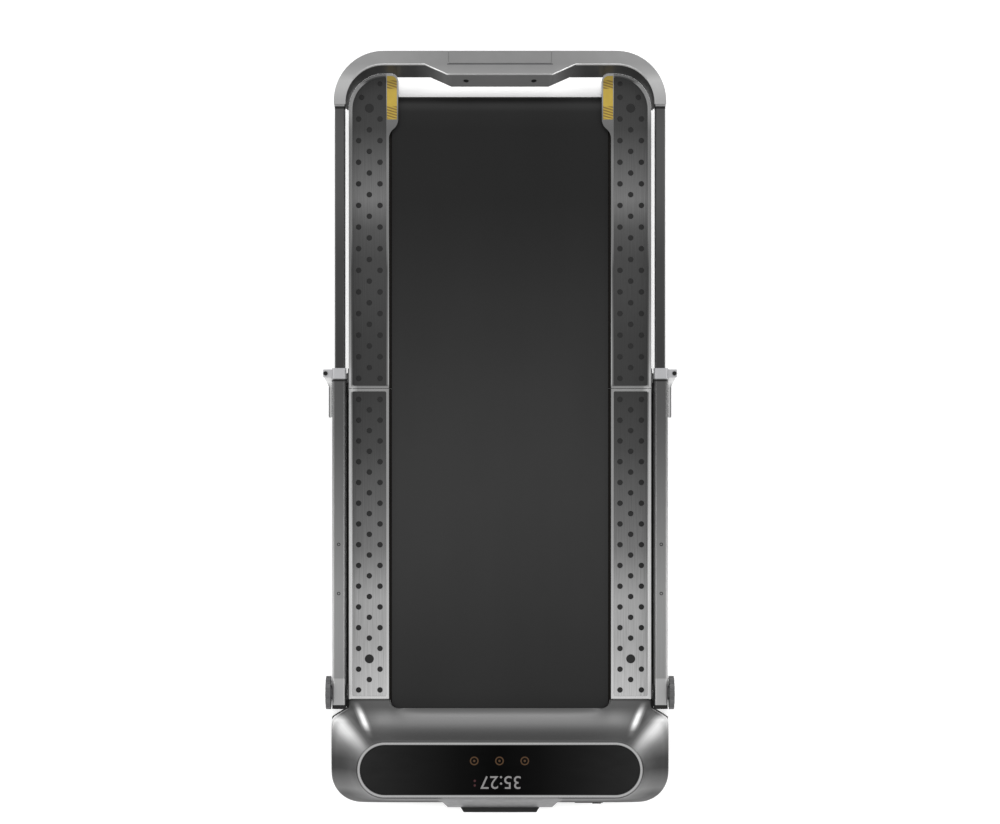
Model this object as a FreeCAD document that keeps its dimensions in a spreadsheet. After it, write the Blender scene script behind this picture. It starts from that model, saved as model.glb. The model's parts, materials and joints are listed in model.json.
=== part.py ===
import FreeCAD, Part
import math
import os
from types import SimpleNamespace

import Sketcher

# A folding walking pad with a handrail that tilts up and telescopes.
# +X is the right side, +Y the rear end, +Z up. The origin is on the floor, under the middle.

doc = FreeCAD.newDocument("walking_pad")
sheet = doc.addObject("Spreadsheet::Sheet", "Sizes")
Vector = FreeCAD.Vector
Placement = FreeCAD.Placement
Rotation = FreeCAD.Rotation

# Driving dimensions in millimetres, and counts of what repeats.
SIZES = {
    # Deck hinge and rails
    "hinge_y": 91.0,
    "hinge_rise": 1.0,
    "hinge_pin_radius": 5.0,
    "hinge_ear_radius": 11.0,
    "seam_gap": 1.2,
    "front_rail_length": 620.0,
    "rear_rail_length": 628.8,
    "rail_width": 80.2,
    "rail_top": 70.0,
    "rail_slab": 7.2,
    "rail_corner_flat": 0.5,
    "skirt_wall": 3.0,
    "skirt_bottom": 16.0,
    "rim_width": 5.2,
    "outer_rim": 7.0,
    "recess_corner": 3.0,
    "bulge_depth": 18.3,
    "bulge_corner": 14.0,
    "bulge_length": 91.4,
    "bulge_slant": 38.0,
    # Tread plates, grip mats and inlays
    "mat_thickness": 1.4,
    "plate_thickness": 1.2,
    "plate_clearance": 0.3,
    "stud_proud": 0.5,
    "stud_clearance": 0.15,
    "dot_radius": 5.5,
    "big_dot_radius": 9.0,
    "dot_column": 21.4,
    "front_dot_inset": 17.5,
    "front_dot_end": 21.5,
    "front_dot_rows": 15,
    "rear_dot_inset": 19.4,
    "rear_dot_end": 47.2,
    "rear_dot_rows": 13,
    "corner_dot_shift": 6.0,
    "inlay_margin": 2.4,
    "inlay_rim_gap": 1.3,
    "inlay_end_gap": 4.4,
    "inlay_length": 87.0,
    "inlay_thickness": 1.3,
    "inlay_proud": 0.3,
    # Walking belt, rollers and deck boards
    "belt_half_width": 217.0,
    "belt_side_gap": 5.2,
    "belt_rail_gap": 1.0,
    "belt_thickness": 2.0,
    "belt_clearance": 0.3,
    "roller_radius": 18.5,
    "roller_wall": 3.0,
    "roller_overhang": 5.0,
    "roller_shaft_radius": 6.0,
    "shaft_seat": 24.0,
    "bearing_width": 12.0,
    "running_clearance": 0.05,
    "front_roller_setback": 60.9,
    "rear_roller_inset": 63.8,
    "board_side_gap": 6.0,
    "board_thickness": 16.0,
    "board_roller_gap": 7.0,
    # Welded frames, pans and feet
    "ledge_roller_gap": 2.0,
    "beam_side_gap": 14.8,
    "beam_bottom": 14.0,
    "beam_wall": 2.5,
    "front_beam_overhang": 50.0,
    "rear_beam_overhang": 20.0,
    "ledge_width": 30.0,
    "ledge_thickness": 3.5,
    "cushion_thickness": 3.5,
    "cushion_length": 40.0,
    "cushion_width": 16.0,
    "cross_height": 13.0,
    "cross_width": 30.0,
    "cross_margin": 24.0,
    "pan_thickness": 2.5,
    "pan_inset": 4.8,
    "foot_radius": 16.0,
    "foot_offset": 16.0,
    "foot_margin": 40.0,
    "tension_bolt_radius": 4.0,
    "tension_head_radius": 6.5,
    "tension_head": 5.0,
    # Motor hood and display
    "hood_overhang": 36.0,
    "hood_rear_gap": 19.5,
    "hood_shoulder_gap": 41.5,
    "hood_length": 189.2,
    "hood_corner": 60.0,
    "hood_lip": 1.2,
    "hood_rise": 60.0,
    "hood_wall": 3.0,
    "tray_top": 30.0,
    "toe_reach": 14.0,
    "toe_bend": 19.0,
    "panel_inset": 56.1,
    "panel_width": 109.1,
    "panel_rear_gap": 80.3,
    "panel_land": 3.0,
    "panel_flat": 2.0,
    "bezel_width": 6.5,
    "bezel_depth": 5.0,
    "bezel_proud": 0.6,
    "lens_thickness": 3.0,
    "display_board_half_width": 110.0,
    "display_board_length": 60.0,
    "display_board_thickness": 2.0,
    # Drive
    "drive_pulley_radius": 22.0,
    "drive_pulley_width": 22.0,
    "motor_pulley_radius": 13.0,
    "drive_belt_width": 14.0,
    "drive_belt_thickness": 3.0,
    "motor_radius": 38.0,
    "motor_length": 150.0,
    "motor_forward": 82.0,
    "motor_rise": 25.0,
    "motor_shaft_radius": 5.0,
    "motor_shaft_depth": 40.0,
    "flywheel_radius": 30.0,
    "flywheel_width": 9.0,
    "motor_plate_thickness": 4.0,
    "motor_plate_length": 90.0,
    "cradle_height": 22.0,
    "cradle_margin": 20.0,
    "controller_width": 160.0,
    "controller_length": 70.0,
    "controller_board": 2.0,
    "controller_standoff": 4.0,
    "standoff_radius": 4.0,
    "heatsink_base": 5.0,
    "heatsink_fin": 3.0,
    "heatsink_height": 30.0,
    "heatsink_fins": 7,
    # Front bumper, transport wheels, power inlet
    "bumper_half_width": 121.0,
    "bumper_depth": 12.2,
    "bumper_taper": 16.5,
    "bumper_bottom": 22.0,
    "bumper_height": 24.0,
    "bumper_pad_half_width": 79.0,
    "bumper_pad_depth": 10.6,
    "bumper_pad_height": 18.0,
    "wheel_radius": 20.0,
    "wheel_width": 26.0,
    "wheel_inset": 65.0,
    "wheel_height": 24.0,
    "wheel_setback": 29.0,
    "wheel_axle_radius": 4.0,
    "wheel_side_gap": 1.0,
    "wheel_room": 4.0,
    "inlet_x": 150.0,
    "inlet_width": 56.0,
    "inlet_bottom": 34.0,
    "inlet_height": 22.0,
    "inlet_depth": 22.0,
    "inlet_flange": 2.0,
    "inlet_lip": 3.0,
    "socket_width": 22.0,
    "socket_depth": 17.0,
    "rocker_width": 17.2,
    "rocker_height": 13.6,
    "rocker_thickness": 11.0,
    "rocker_proud": 2.0,
    "rocker_gap": 0.4,
    "rocker_swing": 1.2,
    "rocker_pin_radius": 1.5,
    "rocker_pin_length": 1.4,
    # Side plates and handrail
    "rear_plate_gap": 0.3,
    "rear_plate_thickness": 1.7,
    "plate_gap": 0.3,
    "side_plate_thickness": 1.8,
    "side_plate_drop": 4.0,
    "rear_plate_reach": 40.0,
    "spacer_end_gap": 90.0,
    "pivot_setback": 14.6,
    "bar_rail_clearance": 3.0,
    "pivot_ear_radius": 16.0,
    "pivot_bolt_radius": 6.0,
    "pivot_head_radius": 9.0,
    "pivot_head": 1.4,
    "tube_gap": 0.5,
    "tube_width": 26.4,
    "tube_height": 34.0,
    "tube_wall": 1.7,
    "tube_inner_wall": 1.2,
    "tube_outer_wall": 4.6,
    "tube_corner": 5.0,
    "tube_clearance": 0.3,
    "inner_tube_wall": 1.6,
    "tube_past_hinge": 19.0,
    "inner_tube_overlap": 80.0,
    "pivot_block_front": 23.0,
    "pivot_block_rear": 26.0,
    "pivot_cap": 8.0,
    "collar_length": 21.0,
    "collar_proud": 0.7,
    "lug_reach": 18.0,
    "lug_height": 6.0,
    "lug_gap": 15.6,
    "lug_inset": 2.5,
    "clamp_pin_radius": 3.0,
    "clamp_head_radius": 4.2,
    "clamp_head": 2.0,
    "clamp_pin_offset": 26.3,
    "lever_clearance": 0.3,
    "lever_hub_radius": 6.5,
    "lever_length": 88.0,
    "lever_width": 5.8,
    "lever_tip_radius": 2.5,
    "lever_flare": 26.0,
    "knob_radius": 33.0,
    "knob_width": 9.5,
    "knob_gap": 0.4,
    "knob_hub_radius": 14.0,
    "knob_hub": 2.6,
    "knob_flutes": 12,
    "knob_flute_radius": 5.0,
    "knob_flute_depth": 2.2,
    "knob_bore_depth": 8.0,
    # Handlebar and phone flap
    "bar_reach": 40.7,
    "bar_gap": 2.3,
    "bar_top_width": 28.2,
    "bar_corner": 99.5,
    "bar_arm_proud": 1.7,
    "bar_arm_draft": 1.9,
    "bar_arm_length": 106.1,
    "bar_inner_corner": 56.0,
    "bar_top_inner_corner": 75.0,
    "bar_grip_depth": 28.8,
    "bar_top_grip_depth": 20.1,
    "bar_step_inner": 97.0,
    "bar_step_draft": 8.0,
    "bar_seam": 9.0,
    "bar_spigot": 24.0,
    "ferrule_length": 4.0,
    "ferrule_wall": 1.0,
    "bar_screw_x": 69.0,
    "bar_screw_radius": 4.2,
    "bar_screw_length": 10.0,
    "bar_screw_inset": 2.0,
    "flap_half_width": 102.0,
    "flap_depth": 23.5,
    "flap_thickness": 3.0,
    "flap_gap": 0.5,
    "flap_front_gap": 2.2,
    "flap_pin_length": 3.0,
}


class Size:
    """A length with its number and the expression on the sheet's cells that gives it."""

    def __init__(self, value, text):
        self.value = value
        self.text = text

    def __add__(self, other):
        return combined(self, "+", other, number(self) + number(other))

    def __radd__(self, other):
        return combined(other, "+", self, number(other) + number(self))

    def __sub__(self, other):
        return combined(self, "-", other, number(self) - number(other))

    def __rsub__(self, other):
        return combined(other, "-", self, number(other) - number(self))

    def __mul__(self, other):
        return combined(self, "*", other, number(self) * number(other))

    def __rmul__(self, other):
        return combined(other, "*", self, number(other) * number(self))

    def __truediv__(self, other):
        return combined(self, "/", other, number(self) / number(other))

    def __neg__(self):
        return combined(0, "-", self, -self.value)


def number(size):
    return size.value if isinstance(size, Size) else size


def words(size):
    return size.text if isinstance(size, Size) else repr(size)


def combined(first, sign, second, value):
    return Size(value, f"({words(first)} {sign} {words(second)})")


def read_sheet():
    for row, (alias, value) in enumerate(SIZES.items(), 1):
        sheet.set(f"A{row}", alias)
        sheet.set(f"B{row}", str(value))
        sheet.setAlias(f"B{row}", alias)
    doc.recompute()
    return SimpleNamespace(**{alias: Size(sheet.get(alias), f"Sizes.{alias}") for alias in SIZES})


d = read_sheet()
sub_parts = []


def sub_part(name, piece):
    piece.Label = name
    sub_parts.append(piece)
    return piece


def bind(piece, name, size):
    piece.setExpression(name, words(size))


# Primitives and booleans whose sizes follow the sheet

def box(name, x, y, z):
    """A block between the low and high values of each span."""
    piece = doc.addObject("Part::Box", name)
    for axis, side, span in zip("xyz", ("Length", "Width", "Height"), (x, y, z)):
        bind(piece, side, span[1] - span[0])
        bind(piece, "Placement.Base." + axis, span[0])
    return piece


ROD_TURN = {
    "x": Rotation(Vector(0, 1, 0), 90),
    "y": Rotation(Vector(1, 0, 0), -90),
    "z": Rotation(),
}


def rod(name, axis, radius, start, length):
    """A cylinder from the point start along +X, +Y or +Z."""
    piece = doc.addObject("Part::Cylinder", name)
    piece.Placement = Placement(Vector(), ROD_TURN[axis])
    bind(piece, "Radius", radius)
    bind(piece, "Height", length)
    for letter, place in zip("xyz", start):
        bind(piece, "Placement.Base." + letter, place)
    return piece


def fuse(name, *pieces):
    piece = doc.addObject("Part::MultiFuse", name)
    piece.Shapes = list(pieces)
    piece.Refine = True
    return piece


def cut(name, base, *tools):
    piece = doc.addObject("Part::Cut", name)
    piece.Base = base
    piece.Tool = tools[0] if len(tools) == 1 else fuse(name + "_tools", *tools)
    piece.Refine = True
    return piece


def common(name, base, tool):
    piece = doc.addObject("Part::Common", name)
    piece.Base = base
    piece.Tool = tool
    return piece


def group(name, *pieces):
    piece = doc.addObject("Part::Compound", name)
    piece.Links = list(pieces)
    return piece


def mirrored(name, source):
    piece = doc.addObject("Part::Mirroring", name)
    piece.Source = source
    piece.Normal = Vector(1, 0, 0)
    return piece


def pair(name, source):
    """The right-hand piece and its mirror image on the left, as one node."""
    return sub_part(name, group(name, source, mirrored(name + "_mirror", source)))


def left_and_right(name, source):
    """The right-hand piece and its mirror image, each its own node."""
    sub_part(name + "_right", source)
    sub_part(name + "_left", mirrored(name + "_left", source))


# Bodies with sketches

def new_body(name):
    return doc.addObject("PartDesign::Body", name)


def sketch_on(body, role, level):
    """A sketch on one of the body's own planes, moved along the plane's normal by level."""
    sketch = body.newObject("Sketcher::SketchObject", body.Name + "_sketch")
    plane = next(feature for feature in body.Origin.OriginFeatures if feature.Role == role)
    sketch.AttachmentSupport = [(plane, "")]
    sketch.MapMode = "FlatFace"
    bind(sketch, "AttachmentOffset.Base.z", level)
    return sketch


def arc_between(start, end, radius):
    """An arc of under half a turn: a positive radius turns left from start to end."""
    middle = (start + end) / 2
    chord = end - start
    rise = math.sqrt(max(radius * radius - chord.Length ** 2 / 4, 0))
    across = Vector(-chord.y, chord.x, 0).normalize()
    centre = middle + across * math.copysign(rise, radius)
    first, last = (start, end) if radius > 0 else (end, start)
    angles = [math.atan2(point.y - centre.y, point.x - centre.x) for point in (first, last)]
    circle = Part.Circle(centre, Vector(0, 0, 1), abs(radius))
    return Part.ArcOfCircle(circle, angles[0], angles[1])


def fix_point(sketch, index, position, place):
    """Ties one end or centre of a sketch curve to a place on the sheet."""
    for kind, size in zip(("DistanceX", "DistanceY"), place):
        rule = Sketcher.Constraint(kind, -1, 1, index, position, float(number(size)))
        tie(sketch, rule, size)


def tie(sketch, rule, size):
    place = sketch.addConstraint(rule)
    sketch.setExpression(f"Constraints[{place}]", words(size))


def outline(sketch, points):
    """A closed outline of (x, y) points. A third value makes the edge that starts there an arc."""
    first = sketch.GeometryCount
    spots = [Vector(number(point[0]), number(point[1]), 0) for point in points]
    starts, ends = [], []
    for spot, point, following in zip(spots, points, spots[1:] + spots[:1]):
        if len(point) == 2:
            sketch.addGeometry(Part.LineSegment(spot, following))
        else:
            sketch.addGeometry(arc_between(spot, following, number(point[2])))
        forward = len(point) == 2 or number(point[2]) > 0
        starts.append(1 if forward else 2)
        ends.append(2 if forward else 1)
    count = len(points)
    for i, point in enumerate(points):
        after = (i + 1) % count
        joint = Sketcher.Constraint("Coincident", first + i, ends[i], first + after, starts[after])
        sketch.addConstraint(joint)
    for i, point in enumerate(points):
        fix_point(sketch, first + i, starts[i], point[:2])
        if len(point) == 3:
            radius = point[2] if number(point[2]) > 0 else -point[2]
            tie(sketch, Sketcher.Constraint("Radius", first + i, number(radius)), radius)


def rectangle(sketch, x, y, corner=None):
    """A rectangle, with rounded corners where a corner radius is given."""
    if corner is None:
        outline(sketch, [(x[0], y[0]), (x[1], y[0]), (x[1], y[1]), (x[0], y[1])])
        return
    outline(sketch, [
        (x[0] + corner, y[0]), (x[1] - corner, y[0], corner),
        (x[1], y[0] + corner), (x[1], y[1] - corner, corner),
        (x[1] - corner, y[1]), (x[0] + corner, y[1], corner),
        (x[0], y[1] - corner), (x[0], y[0] + corner, corner),
    ])


def circle(sketch, x, y, radius):
    index = sketch.addGeometry(Part.Circle(Vector(number(x), number(y), 0), Vector(0, 0, 1), number(radius)))
    fix_point(sketch, index, 3, (x, y))
    tie(sketch, Sketcher.Constraint("Radius", index, number(radius)), radius)


def pad(body, sketch, length):
    feature = body.newObject("PartDesign::Pad", body.Name + "_pad")
    feature.Profile = sketch
    bind(feature, "Length", length)
    return feature


def pocket(body, sketch, length):
    feature = body.newObject("PartDesign::Pocket", body.Name + "_pocket")
    feature.Profile = sketch
    bind(feature, "Length", length)
    return feature


def rows_along_y(body, feature, pitch, count):
    """Repeats a feature towards the rear."""
    doc.recompute()
    pattern = body.newObject("PartDesign::LinearPattern", body.Name + "_rows")
    axis = next(origin for origin in body.Origin.OriginFeatures if origin.Role == "Y_Axis")
    pattern.Originals = [feature]
    pattern.Direction = (axis, [""])
    bind(pattern, "Length", pitch * (count - 1))
    bind(pattern, "Occurrences", count)
    body.Tip = pattern
    doc.recompute()
    return pattern


# Stations along Y, worked out from the driving dimensions

front_deck_end = d.hinge_y - d.seam_gap / 2
rear_deck_start = d.hinge_y + d.seam_gap / 2
rail_front = front_deck_end - d.front_rail_length
rail_rear = rear_deck_start + d.rear_rail_length
front_recess_y = (rail_front + d.rim_width, front_deck_end - d.rim_width)
rear_recess_y = (rear_deck_start + d.rim_width, rail_rear - d.outer_rim)
front_dot_pitch = (d.front_rail_length - d.front_dot_inset - d.front_dot_end) / (d.front_dot_rows - 1)
rear_dot_pitch = (d.rear_rail_length - d.rear_dot_inset - d.rear_dot_end) / d.rear_dot_rows
front_roller_y = rail_front - d.front_roller_setback
rear_roller_y = rail_rear - d.rear_roller_inset
hood_rear = rail_front - d.hood_rear_gap
hood_shoulder = rail_front - d.hood_shoulder_gap
hood_front = hood_rear - d.hood_length
bumper_front = hood_front - d.bumper_depth
pivot_y = rail_front + d.pivot_setback
outer_tube_start = pivot_y + d.pivot_block_rear
outer_tube_end = d.hinge_y + d.tube_past_hinge
collar_end = outer_tube_end + d.collar_length
bar_bottom_inner = rail_rear + d.bar_gap
bar_rear = rail_rear + d.bar_reach
bar_bottom_width = d.bar_reach - d.bar_gap
bar_arm_y = bar_rear - d.bar_arm_length

# Stations across X, from the belt outwards

rail_inner = d.belt_half_width + d.belt_side_gap
rail_outer = rail_inner + d.rail_width
rail_corner = d.rail_width - d.rim_width - d.plate_clearance - d.recess_corner - d.rail_corner_flat
bulge_x = rail_inner - d.bulge_depth
recess_x = (rail_inner + d.rim_width, rail_outer - d.outer_rim)
plate_middle = (recess_x[0] + recess_x[1]) / 2
roller_half_length = d.belt_half_width + d.roller_overhang
beam_inner = roller_half_length + d.ledge_roller_gap + d.ledge_width
beam_outer = rail_outer - d.beam_side_gap
shaft_half_length = beam_inner + d.shaft_seat
board_half_width = beam_inner - d.board_side_gap
pan_half_width = rail_outer - d.pan_inset
foot_x = beam_inner + d.foot_offset
hood_half_width = rail_outer + d.hood_overhang
panel_half_width = hood_half_width - d.panel_inset
wheel_x = hood_half_width - d.wheel_inset
rear_plate_x = (rail_outer + d.rear_plate_gap, rail_outer + d.rear_plate_gap + d.rear_plate_thickness)
side_plate_x = (rear_plate_x[1] + d.plate_gap, rear_plate_x[1] + d.plate_gap + d.side_plate_thickness)
tube_inner_x = side_plate_x[1] + d.tube_gap
tube_outer_x = tube_inner_x + d.tube_width
tube_x = (tube_inner_x + tube_outer_x) / 2
clamp_pin_x = tube_x + d.clamp_pin_offset

# Heights above the floor, from the rail's top down and up

slab_bottom = d.rail_top - d.rail_slab
recess_depth = d.mat_thickness + d.plate_thickness + d.plate_clearance
recess_floor = d.rail_top - recess_depth
plate_bottom = recess_floor + d.mat_thickness
belt_inner_radius = d.roller_radius + d.belt_clearance
belt_outer_radius = belt_inner_radius + d.belt_thickness
roller_height = slab_bottom - d.belt_rail_gap - belt_outer_radius
board_top = roller_height + d.roller_radius
board_bottom = board_top - d.board_thickness
ledge_top = board_bottom - d.cushion_thickness
ledge_bottom = ledge_top - d.ledge_thickness
pan_bottom = d.beam_bottom - d.pan_thickness
motor_height = roller_height + d.motor_rise
hinge_height = d.rail_top + d.hinge_rise
side_plate_top = d.rail_top - d.side_plate_drop
hood_waist = slab_bottom + d.hood_lip
hood_top = hood_waist + d.hood_rise
tube_bottom = d.rail_top + d.bar_rail_clearance
tube_top = tube_bottom + d.tube_height
pivot_height = (tube_bottom + tube_top) / 2


# Rail covers with their tread plates, grip mats and inlays

def recess_outline(sketch, y, inset, rear):
    """The plate's outline inside the rail's rim, round at the rear outer corner of the rear half."""
    x = (recess_x[0] + inset, recess_x[1] - inset)
    y = (y[0] + inset, y[1] - inset)
    small = d.recess_corner
    outer = (rail_corner - d.outer_rim - inset) if rear else small
    outline(sketch, [
        (x[0] + small, y[0]), (x[1] - small, y[0], small),
        (x[1], y[0] + small), (x[1], y[1] - outer, outer),
        (x[1] - outer, y[1]), (x[0] + small, y[1], small),
        (x[0], y[1] - small), (x[0], y[0] + small, small),
    ])


def front_rail_cover():
    body = new_body("front_rail_cover")
    slab = sketch_on(body, "XY_Plane", slab_bottom)
    rectangle(slab, (rail_inner, rail_outer), (rail_front, front_deck_end))
    pad(body, slab, d.rail_slab)
    skirt = sketch_on(body, "XY_Plane", d.skirt_bottom)
    rectangle(skirt, (rail_outer - d.skirt_wall, rail_outer), (rail_front, front_deck_end))
    pad(body, skirt, slab_bottom - d.skirt_bottom)
    recess = sketch_on(body, "XY_Plane", d.rail_top)
    recess_outline(recess, front_recess_y, 0, rear=False)
    pocket(body, recess, recess_depth)
    left_and_right("front_rail_cover", body)


def rear_rail_cover():
    body = new_body("rear_rail_cover")
    bulge_front = rail_rear - d.bulge_length
    bend = (d.bulge_depth * d.bulge_depth + d.bulge_slant * d.bulge_slant) / (4 * d.bulge_depth)
    slab = sketch_on(body, "XY_Plane", slab_bottom)
    outline(slab, [
        (rail_inner, rear_deck_start),
        (rail_outer, rear_deck_start),
        (rail_outer, rail_rear - rail_corner, rail_corner),
        (rail_outer - rail_corner, rail_rear),
        (bulge_x + d.bulge_corner, rail_rear, d.bulge_corner),
        (bulge_x, rail_rear - d.bulge_corner),
        (bulge_x, bulge_front, bend),
        ((bulge_x + rail_inner) / 2, bulge_front - d.bulge_slant / 2, -bend),
        (rail_inner, bulge_front - d.bulge_slant),
    ])
    pad(body, slab, d.rail_slab)
    wall = d.skirt_wall
    cap_start = rear_roller_y + belt_outer_radius + wall
    skirt = sketch_on(body, "XY_Plane", d.skirt_bottom)
    outline(skirt, [
        (rail_outer - wall, rear_deck_start),
        (rail_outer, rear_deck_start),
        (rail_outer, rail_rear - rail_corner, rail_corner),
        (rail_outer - rail_corner, rail_rear),
        (bulge_x + d.bulge_corner, rail_rear, d.bulge_corner),
        (bulge_x, rail_rear - d.bulge_corner),
        (bulge_x, cap_start),
        (bulge_x + wall, cap_start),
        (bulge_x + wall, rail_rear - d.bulge_corner, wall - d.bulge_corner),
        (bulge_x + d.bulge_corner, rail_rear - wall),
        (rail_outer - rail_corner, rail_rear - wall, wall - rail_corner),
        (rail_outer - wall, rail_rear - rail_corner),
    ])
    pad(body, skirt, slab_bottom - d.skirt_bottom)
    recess = sketch_on(body, "XY_Plane", d.rail_top)
    recess_outline(recess, rear_recess_y, 0, rear=True)
    pocket(body, recess, recess_depth)
    inlay_seat = sketch_on(body, "XY_Plane", d.rail_top)
    inlay_outline(inlay_seat)
    pocket(body, inlay_seat, d.inlay_thickness - d.inlay_proud)
    left_and_right("rear_rail_cover", body)


def inlay_outline(sketch):
    """A strip along the bulge's inner edge, round at its rear inner corner."""
    x = (bulge_x + d.inlay_margin, recess_x[0] - d.inlay_rim_gap)
    end = rail_rear - d.inlay_end_gap
    corner = d.bulge_corner - d.inlay_margin
    outline(sketch, [
        (x[0], end - d.inlay_length),
        (x[1], end - d.inlay_length),
        (x[1], end),
        (x[0] + corner, end, corner),
        (x[0], end - corner),
    ])


def edge_inlays():
    body = new_body("edge_inlay")
    strip = sketch_on(body, "XY_Plane", d.rail_top - d.inlay_thickness + d.inlay_proud)
    inlay_outline(strip)
    pad(body, strip, d.inlay_thickness)
    pair("edge_inlays", body)


def dot_rows(body, level, make, depth, radius_cut, first_y, pitch, rows, big_y, extra):
    """Two side columns, a middle column half a pitch on, one big dot and any extra dots."""
    small = d.dot_radius - radius_cut
    columns = sketch_on(body, "XY_Plane", level)
    circle(columns, plate_middle - d.dot_column, first_y, small)
    circle(columns, plate_middle + d.dot_column, first_y, small)
    rows_along_y(body, make(body, columns, depth), pitch, rows)
    middle = sketch_on(body, "XY_Plane", level)
    circle(middle, plate_middle, first_y + pitch / 2, small)
    rows_along_y(body, make(body, middle, depth), pitch, rows - 1)
    single = sketch_on(body, "XY_Plane", level)
    circle(single, plate_middle, big_y, d.big_dot_radius - radius_cut)
    for x, y in extra:
        circle(single, x, y, small)
    make(body, single, depth)


def rail_dots(body, level, make, depth, radius_cut, rear):
    if not rear:
        first_y = rail_front + d.front_dot_inset
        big_y = first_y + front_dot_pitch * 1.5
        pitch, rows = front_dot_pitch, d.front_dot_rows
        dot_rows(body, level, make, depth, radius_cut, first_y, pitch, rows, big_y, [])
        return
    first_y = rear_deck_start + d.rear_dot_inset
    last_y = first_y + rear_dot_pitch * d.rear_dot_rows
    big_y = last_y - rear_dot_pitch / 2
    corner_dots = [
        (plate_middle - d.dot_column, last_y),
        (plate_middle + d.dot_column - d.corner_dot_shift, last_y),
    ]
    pitch, rows = rear_dot_pitch, d.rear_dot_rows
    dot_rows(body, level, make, depth, radius_cut, first_y, pitch, rows, big_y, corner_dots)


def tread_plates(name, y, rear):
    body = new_body(name)
    plate = sketch_on(body, "XY_Plane", plate_bottom)
    recess_outline(plate, y, d.plate_clearance, rear)
    pad(body, plate, d.plate_thickness)
    rail_dots(body, plate_bottom + d.plate_thickness, pocket, d.plate_thickness, 0, rear)
    pair(name + "s", body)


def grip_mats(name, y, rear):
    body = new_body(name)
    mat = sketch_on(body, "XY_Plane", recess_floor)
    recess_outline(mat, y, d.plate_clearance, rear)
    pad(body, mat, d.mat_thickness)
    stud_height = d.plate_thickness + d.stud_proud
    rail_dots(body, plate_bottom, pad, stud_height, d.stud_clearance, rear)
    pair(name + "s", body)


# Welded frames, deck boards, cushions, pans and feet

def side_beam(name, y):
    """A hollow beam with a ledge under the edge of the deck board."""
    outer = box(name, (beam_inner, beam_outer), y, (d.beam_bottom, slab_bottom))
    hollow = box(
        name + "_hollow",
        (beam_inner + d.beam_wall, beam_outer - d.beam_wall),
        (y[0] + d.beam_wall, y[1] - d.beam_wall),
        (d.beam_bottom + d.beam_wall, slab_bottom - d.beam_wall),
    )
    return cut(name + "_tube", outer, hollow)


def board_ledge(name, y):
    return box(name, (beam_inner - d.ledge_width, beam_inner), y, (ledge_bottom, ledge_top))


def cross_member(name, middle):
    """A hollow cross tube between the side beams."""
    x = (-beam_inner, beam_inner)
    y = (middle - d.cross_width / 2, middle + d.cross_width / 2)
    z = (ledge_top - d.cross_height, ledge_top)
    bar = box(name, x, y, z)
    wall = d.beam_wall
    hollow = box(name + "_hollow", x, (y[0] + wall, y[1] - wall), (z[0] + wall, z[1] - wall))
    return cut(name + "_tube", bar, hollow)


def welded_frame(name, beam_y, board_y, roller_y, extras, tools):
    beam = side_beam(name + "_beam", beam_y)
    ledge = board_ledge(name + "_ledge", board_y)
    margin = d.cross_margin + d.cross_width / 2
    middles = (board_y[0] + margin, (board_y[0] + board_y[1]) / 2, board_y[1] - margin)
    pieces = [beam, mirrored(name + "_beam_left", beam), ledge, mirrored(name + "_ledge_left", ledge)]
    pieces += [cross_member(name + "_cross", middle) for middle in middles]
    shaft_room = rod(
        name + "_shaft_room", "x", d.roller_shaft_radius + d.running_clearance,
        (-shaft_half_length, roller_y, roller_height), 2 * shaft_half_length,
    )
    frame = cut(name, fuse(name + "_weld", *pieces, *extras), shaft_room, *tools)
    return sub_part(name, frame)


front_board_y = (front_roller_y + d.roller_radius + d.board_roller_gap, front_deck_end)
rear_board_y = (rear_deck_start, rear_roller_y - d.roller_radius - d.board_roller_gap)
front_beam_y = (front_roller_y - d.front_beam_overhang, front_deck_end)
rear_beam_y = (rear_deck_start, rear_roller_y + d.rear_beam_overhang)
motor_y = front_roller_y - d.motor_forward
motor_end = roller_half_length - d.flywheel_width
motor_x = (motor_end - d.motor_length, motor_end)
motor_plate_top = d.beam_bottom + d.motor_plate_thickness
motor_plate_y = (motor_y - d.motor_radius, motor_y - d.motor_radius + d.motor_plate_length)


def front_frame():
    plate = box("motor_plate", (-beam_inner, beam_inner), motor_plate_y, (d.beam_bottom, motor_plate_top))
    cradle_x = (motor_x[0] + d.cradle_margin, motor_x[1] - d.cradle_margin)
    cradle_y = (motor_y - d.motor_radius * 0.7, motor_y + d.motor_radius * 0.7)
    cradle = box("cradle", cradle_x, cradle_y, (motor_plate_top, motor_plate_top + d.cradle_height))
    seat = rod("cradle_seat", "x", d.motor_radius, (motor_x[0], motor_y, motor_height), d.motor_length)
    welded_frame("front_frame", front_beam_y, front_board_y, front_roller_y, [plate, cradle], [seat])


def rear_frame():
    bolt_room = tension_bolt("tension_room", d.tension_bolt_radius + d.running_clearance, rear_beam_y[1])
    rooms = [bolt_room, mirrored("tension_room_left", bolt_room)]
    welded_frame("rear_frame", rear_beam_y, rear_board_y, rear_roller_y, [], rooms)


tension_x = (beam_inner + beam_outer) / 2
tension_start = rear_roller_y + d.roller_shaft_radius


def tension_bolt(name, radius, end):
    start = (tension_x, tension_start, roller_height)
    return rod(name, "y", radius, start, end - tension_start)


def belt_tension_bolt():
    shank = tension_bolt("tension_shank", d.tension_bolt_radius, rear_beam_y[1] + d.tension_head)
    head_start = (tension_x, rear_beam_y[1], roller_height)
    head = rod("tension_head", "y", d.tension_head_radius, head_start, d.tension_head)
    return fuse("tension_bolt", shank, head)


def deck_board(name, y):
    half = board_half_width
    sub_part(name, box(name, (-half, half), y, (board_bottom, board_top)))


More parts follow.
